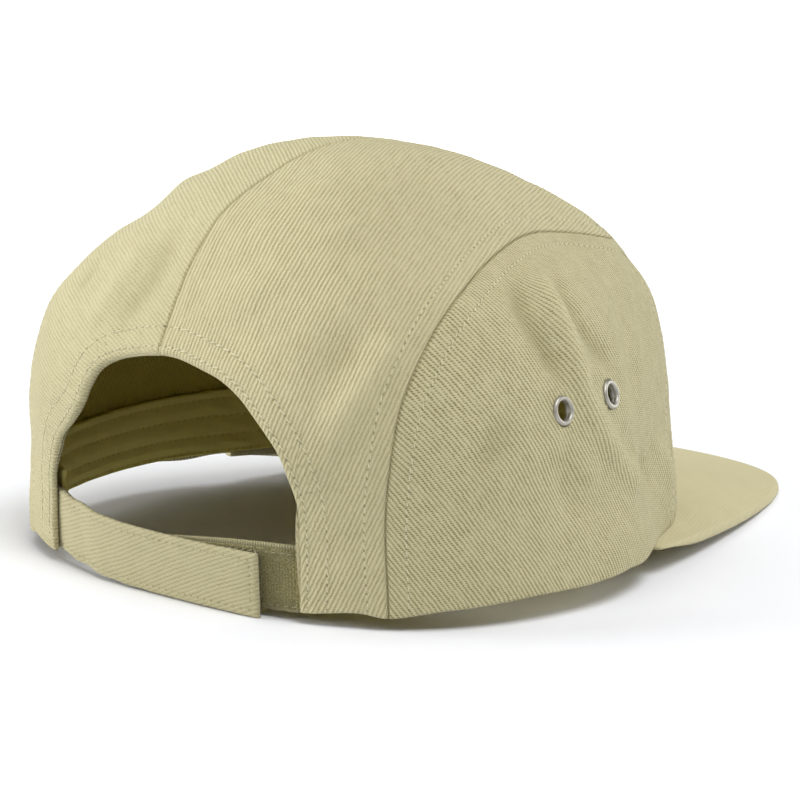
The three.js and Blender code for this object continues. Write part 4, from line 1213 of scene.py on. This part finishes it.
for _ in range(FIBRES):
    i = chance.integers(3, tape_front.shape[0] - 4)
    j = chance.integers(shown, tape_front.shape[1] - 12)
    share, other = chance.uniform(size=2)
    low, high = (
        tape_front[k, j] * (1 - share) + tape_front[k, j + 1] * share for k in (i, i + 1)
    )
    foot, out = low * (1 - other) + high * other, tape_out[i, j]
    side = unit(chance.normal(size=3))
    side = unit(side - out * (side @ out))
    radius = chance.uniform(0.16, 0.34)
    curl = np.linspace(-0.3, chance.uniform(2.0, 3.4), 5)
    spine = foot + radius * (np.outer(np.sin(curl) + 0.2, out) * 0.8 + np.outer(1 - np.cos(curl), side))
    thin = np.cross(out, side)
    first = 15 * len(fibre_points)
    fibre_points.append((spine[:, None] + FIBRE_RADIUS * np.array([thin, out, -thin])).reshape(-1, 3))
    fibre_faces += grid_faces(5, 3, first, closed=True).tolist()
    fibre_faces += [(first, first + 1, first + 2), (first + 14, first + 13, first + 12)]
fibre = cotton_thread("loop fibre", OLIVE_LIGHT)
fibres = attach(make("loop_tape_fibres", np.concatenate(fibre_points), fibre_faces, fibre), "root")
rows = strap_rows(tape_front, tape_out, LOOP_TAPE_WIDTH, 1.0)
stitches("loop_tape_stitches", rows, thread, radius=0.14)
hooks, wire, shader = finish_of("hook tape", 0.6)
lengthwise, upwards = wire.attribute("grain", "Vector").parts()
pins = (lengthwise / PIN_PITCH).wave() * (upwards / PIN_PITCH).wave()
feed(
    wire, shader,
    Base_Color=wire.mix(pins, OLIVE, OLIVE_LIGHT),
    Normal=pins.bump(0.5),
)
hook_shares = strap_shares(strap_end - HOOK_LENGTH / arch_length, strap_end - 1 / arch_length)
hook_tape, *_ = strap_piece(
    "hook_tape_pins", hook_shares, strap_middle,
    lambda shares: strap_face(shares) + STRAP_THICKNESS + SEAM_GAP, (HOOK_WIDTH, HOOK_THICKNESS), hooks,
    row=1.2, puff=0.0,
)
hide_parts("hook_tape")

# The sweatband: a cotton band folded along its upper edge and sewn inside the rim from one foot of the arch
# to the other, with four rows of stitches and the slanting creases of a worn band.
BAND_HEIGHT = 21.5
BAND_THICKNESS = 1.2
BAND_LIFT = 1.0
BAND_SLACK = 0.6
BAND_ROWS = (18.9, 13.2, 7.0, 2.2)
BAND_START = 2.2  # how far in front of the arch's left foot the band starts, degrees
BAND_RADIUS = 88
BAND_COTTON = (0.78, 0.68, 0.2)
BAND_WEAVE = 0.5
root = {1: LOOP_TAPE_THICKNESS + LOOP_STRAP_THICKNESS + 2 * SEAM_GAP, -1: STRAP_THICKNESS + SEAM_GAP}
band_turns = np.linspace(left_foot - 360 + BAND_START, right_foot, 420)
from_foot = np.where(band_turns > 0, right_foot, 360 - left_foot) - np.abs(band_turns)
near_foot = np.radians(from_foot) * BACK_REACH
roots = np.where(band_turns > 0, root[1], root[-1]) * ease((STRAP_TUCK * 2 - near_foot) / STRAP_TUCK)
band_top = BAND_HEIGHT - BAND_LIFT
band_up = np.unique(np.concatenate([
    [0, 0.1, 0.25, 0.45, 0.7], *[np.array(BAND_ROWS) + d for d in (-0.9, -0.45, 0, 0.45, 0.9)],
    band_top - np.array([0, 0.08, 0.2, 0.4, 0.7]), np.linspace(0.8, BAND_HEIGHT - 2, 22),
]).round(4))
band_up = band_up[band_up <= band_top][:, None]
gap = np.minimum(band_up, band_top - band_up)
run = np.radians(band_turns)[None] * BAND_RADIUS + 0 * gap
rows_off = np.stack([band_up + BAND_LIFT - row + 0 * run for row in BAND_ROWS])
between = 1 - np.exp(-((np.abs(rows_off).min(0) / 1.6) ** 2))
crease = sum(
    0.1 * np.sin((run * math.cos(a) + band_up * math.sin(a)) * 2 * math.pi / length + phase)
    for a, length, phase in ((0.6, 9.0, 0.4), (0.95, 6.1, 2.2), (-0.5, 13.0, 1.0), (1.2, 4.3, 5.0))
)
sag = 0.45 * between + crease * between * (0.6 + 0.4 * np.sin(run / 17))
furrow = -0.12 * np.exp(-((np.abs(rows_off).min(0) / 0.4) ** 2))
depth = CLOTH + BAND_SLACK + roots[None] + 0 * gap
height = band_up + BAND_LIFT + 0 * run
roll = rolled(gap, BAND_THICKNESS)
band_face = at_height(band_turns[None], height, depth + roll)
band_inside = at_height(band_turns[None], height, depth + BAND_THICKNESS - roll + sag + furrow)
out = unit(band_face - at_height(band_turns[None], height, depth + 6))
flat = np.stack([run, height, 0 * run], -1)
nearest_row = np.abs(rows_off).argmin(0)
band_cotton, wire, shader = finish_of("sweatband cotton", 0.95, Sheen_Weight=0.1)
grain = wire.attribute("grain", "Vector")
lengthwise, upwards = grain.parts()
weave = (lengthwise / BAND_WEAVE).wave() * 0.5 + (upwards / BAND_WEAVE).wave() * 0.5
blotch = wire.noise(grain, 0.12, 3.0)
row_gap, row_run = wire.attribute("row_gap"), wire.attribute("row_run")
near = 1 - wire.math("ABSOLUTE", row_gap).step(0.12, 0.4)
hole = near * (row_run / STITCH_PITCH).wave().step(0.7, 0.96)
base = wire.mix(blotch * 0.5, BAND_COTTON, toned(BAND_COTTON, 0.8))
# Painted shade in the needle holes: a darker cotton where the needle went through.
base = wire.mix(hole * 0.25, base, toned(BAND_COTTON, 0.5))
feed(wire, shader, Base_Color=base, Normal=(weave * 0.4 - hole * 2).bump(0.1))
signed = np.take_along_axis(rows_off, nearest_row[None], 0)[0]
sweatband = shell_piece("sweatband_cloth", band_face, band_inside, out, band_cotton, [
    ("grain", flat), ("row_gap", signed), ("row_run", run),
])
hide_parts("sweatband")
rows = []
for row in BAND_ROWS:
    i = int(np.argmin(np.abs(band_up + BAND_LIFT - row)))
    rows.append({"place": band_inside[i], "normal": -out[i], "run": run[i] - run[i][0]})
band_thread = cotton_thread("band thread", BAND_COTTON)
stitches("sweatband_stitches", rows, band_thread, radius=0.13)

# Loose thread ends: short ends of the sewing thread at the strap's lower corner, at the foot of the middle
# seam and inside the arch, where the stitching stops.
END_RADIUS = 0.13
LOWER_CORNER, LOWER_EDGE, UPPER_CORNER = strap_front[1, -1], strap_front[0, -3], strap_front[-2, -2]
ENDS = [  # where, first direction as right, up and out, length in mm, bend
    (LOWER_CORNER, (0.5, -1, 0.4), 3.2, 0.9), (LOWER_CORNER, (1, -0.5, 0.6), 2.4, -1.2),
    (LOWER_EDGE, (0.2, -1, 0.1), 1.8, 1.6), (UPPER_CORNER, (0.6, 0.5, 0.5), 1.3, 1.4),
    (crown(spot(180, 40.6)), (-0.3, -1, 0.3), 2.6, 0.8),
    (crown(spot(178.6, 40.4)), (0.4, -1, 0.5), 1.8, -1.0),
]
end_points, end_faces = [], []
for at, (right, up, out), length, bend in ENDS:
    turn = math.radians(turn_of(at))
    rightwards = np.array([-math.cos(turn), math.sin(turn), 0])
    outwards = np.array([-math.sin(turn), -math.cos(turn), 0])
    way = unit(right * rightwards + np.array([0, 0, up]) + out * outwards)
    aside = unit(np.cross(way, outwards + 0.3))
    along = np.linspace(0, 1, 9)
    spine = at + length * (np.outer(along, way) + np.outer(bend * 0.4 * along**2, aside))
    block, around = tube(spine, unit(np.cross(way, aside)), -aside, END_RADIUS, 54 * len(end_points))
    end_points.append(block)
    end_faces.append(around)
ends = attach(make("loose_threads", np.concatenate(end_points), np.concatenate(end_faces), thread), "root")
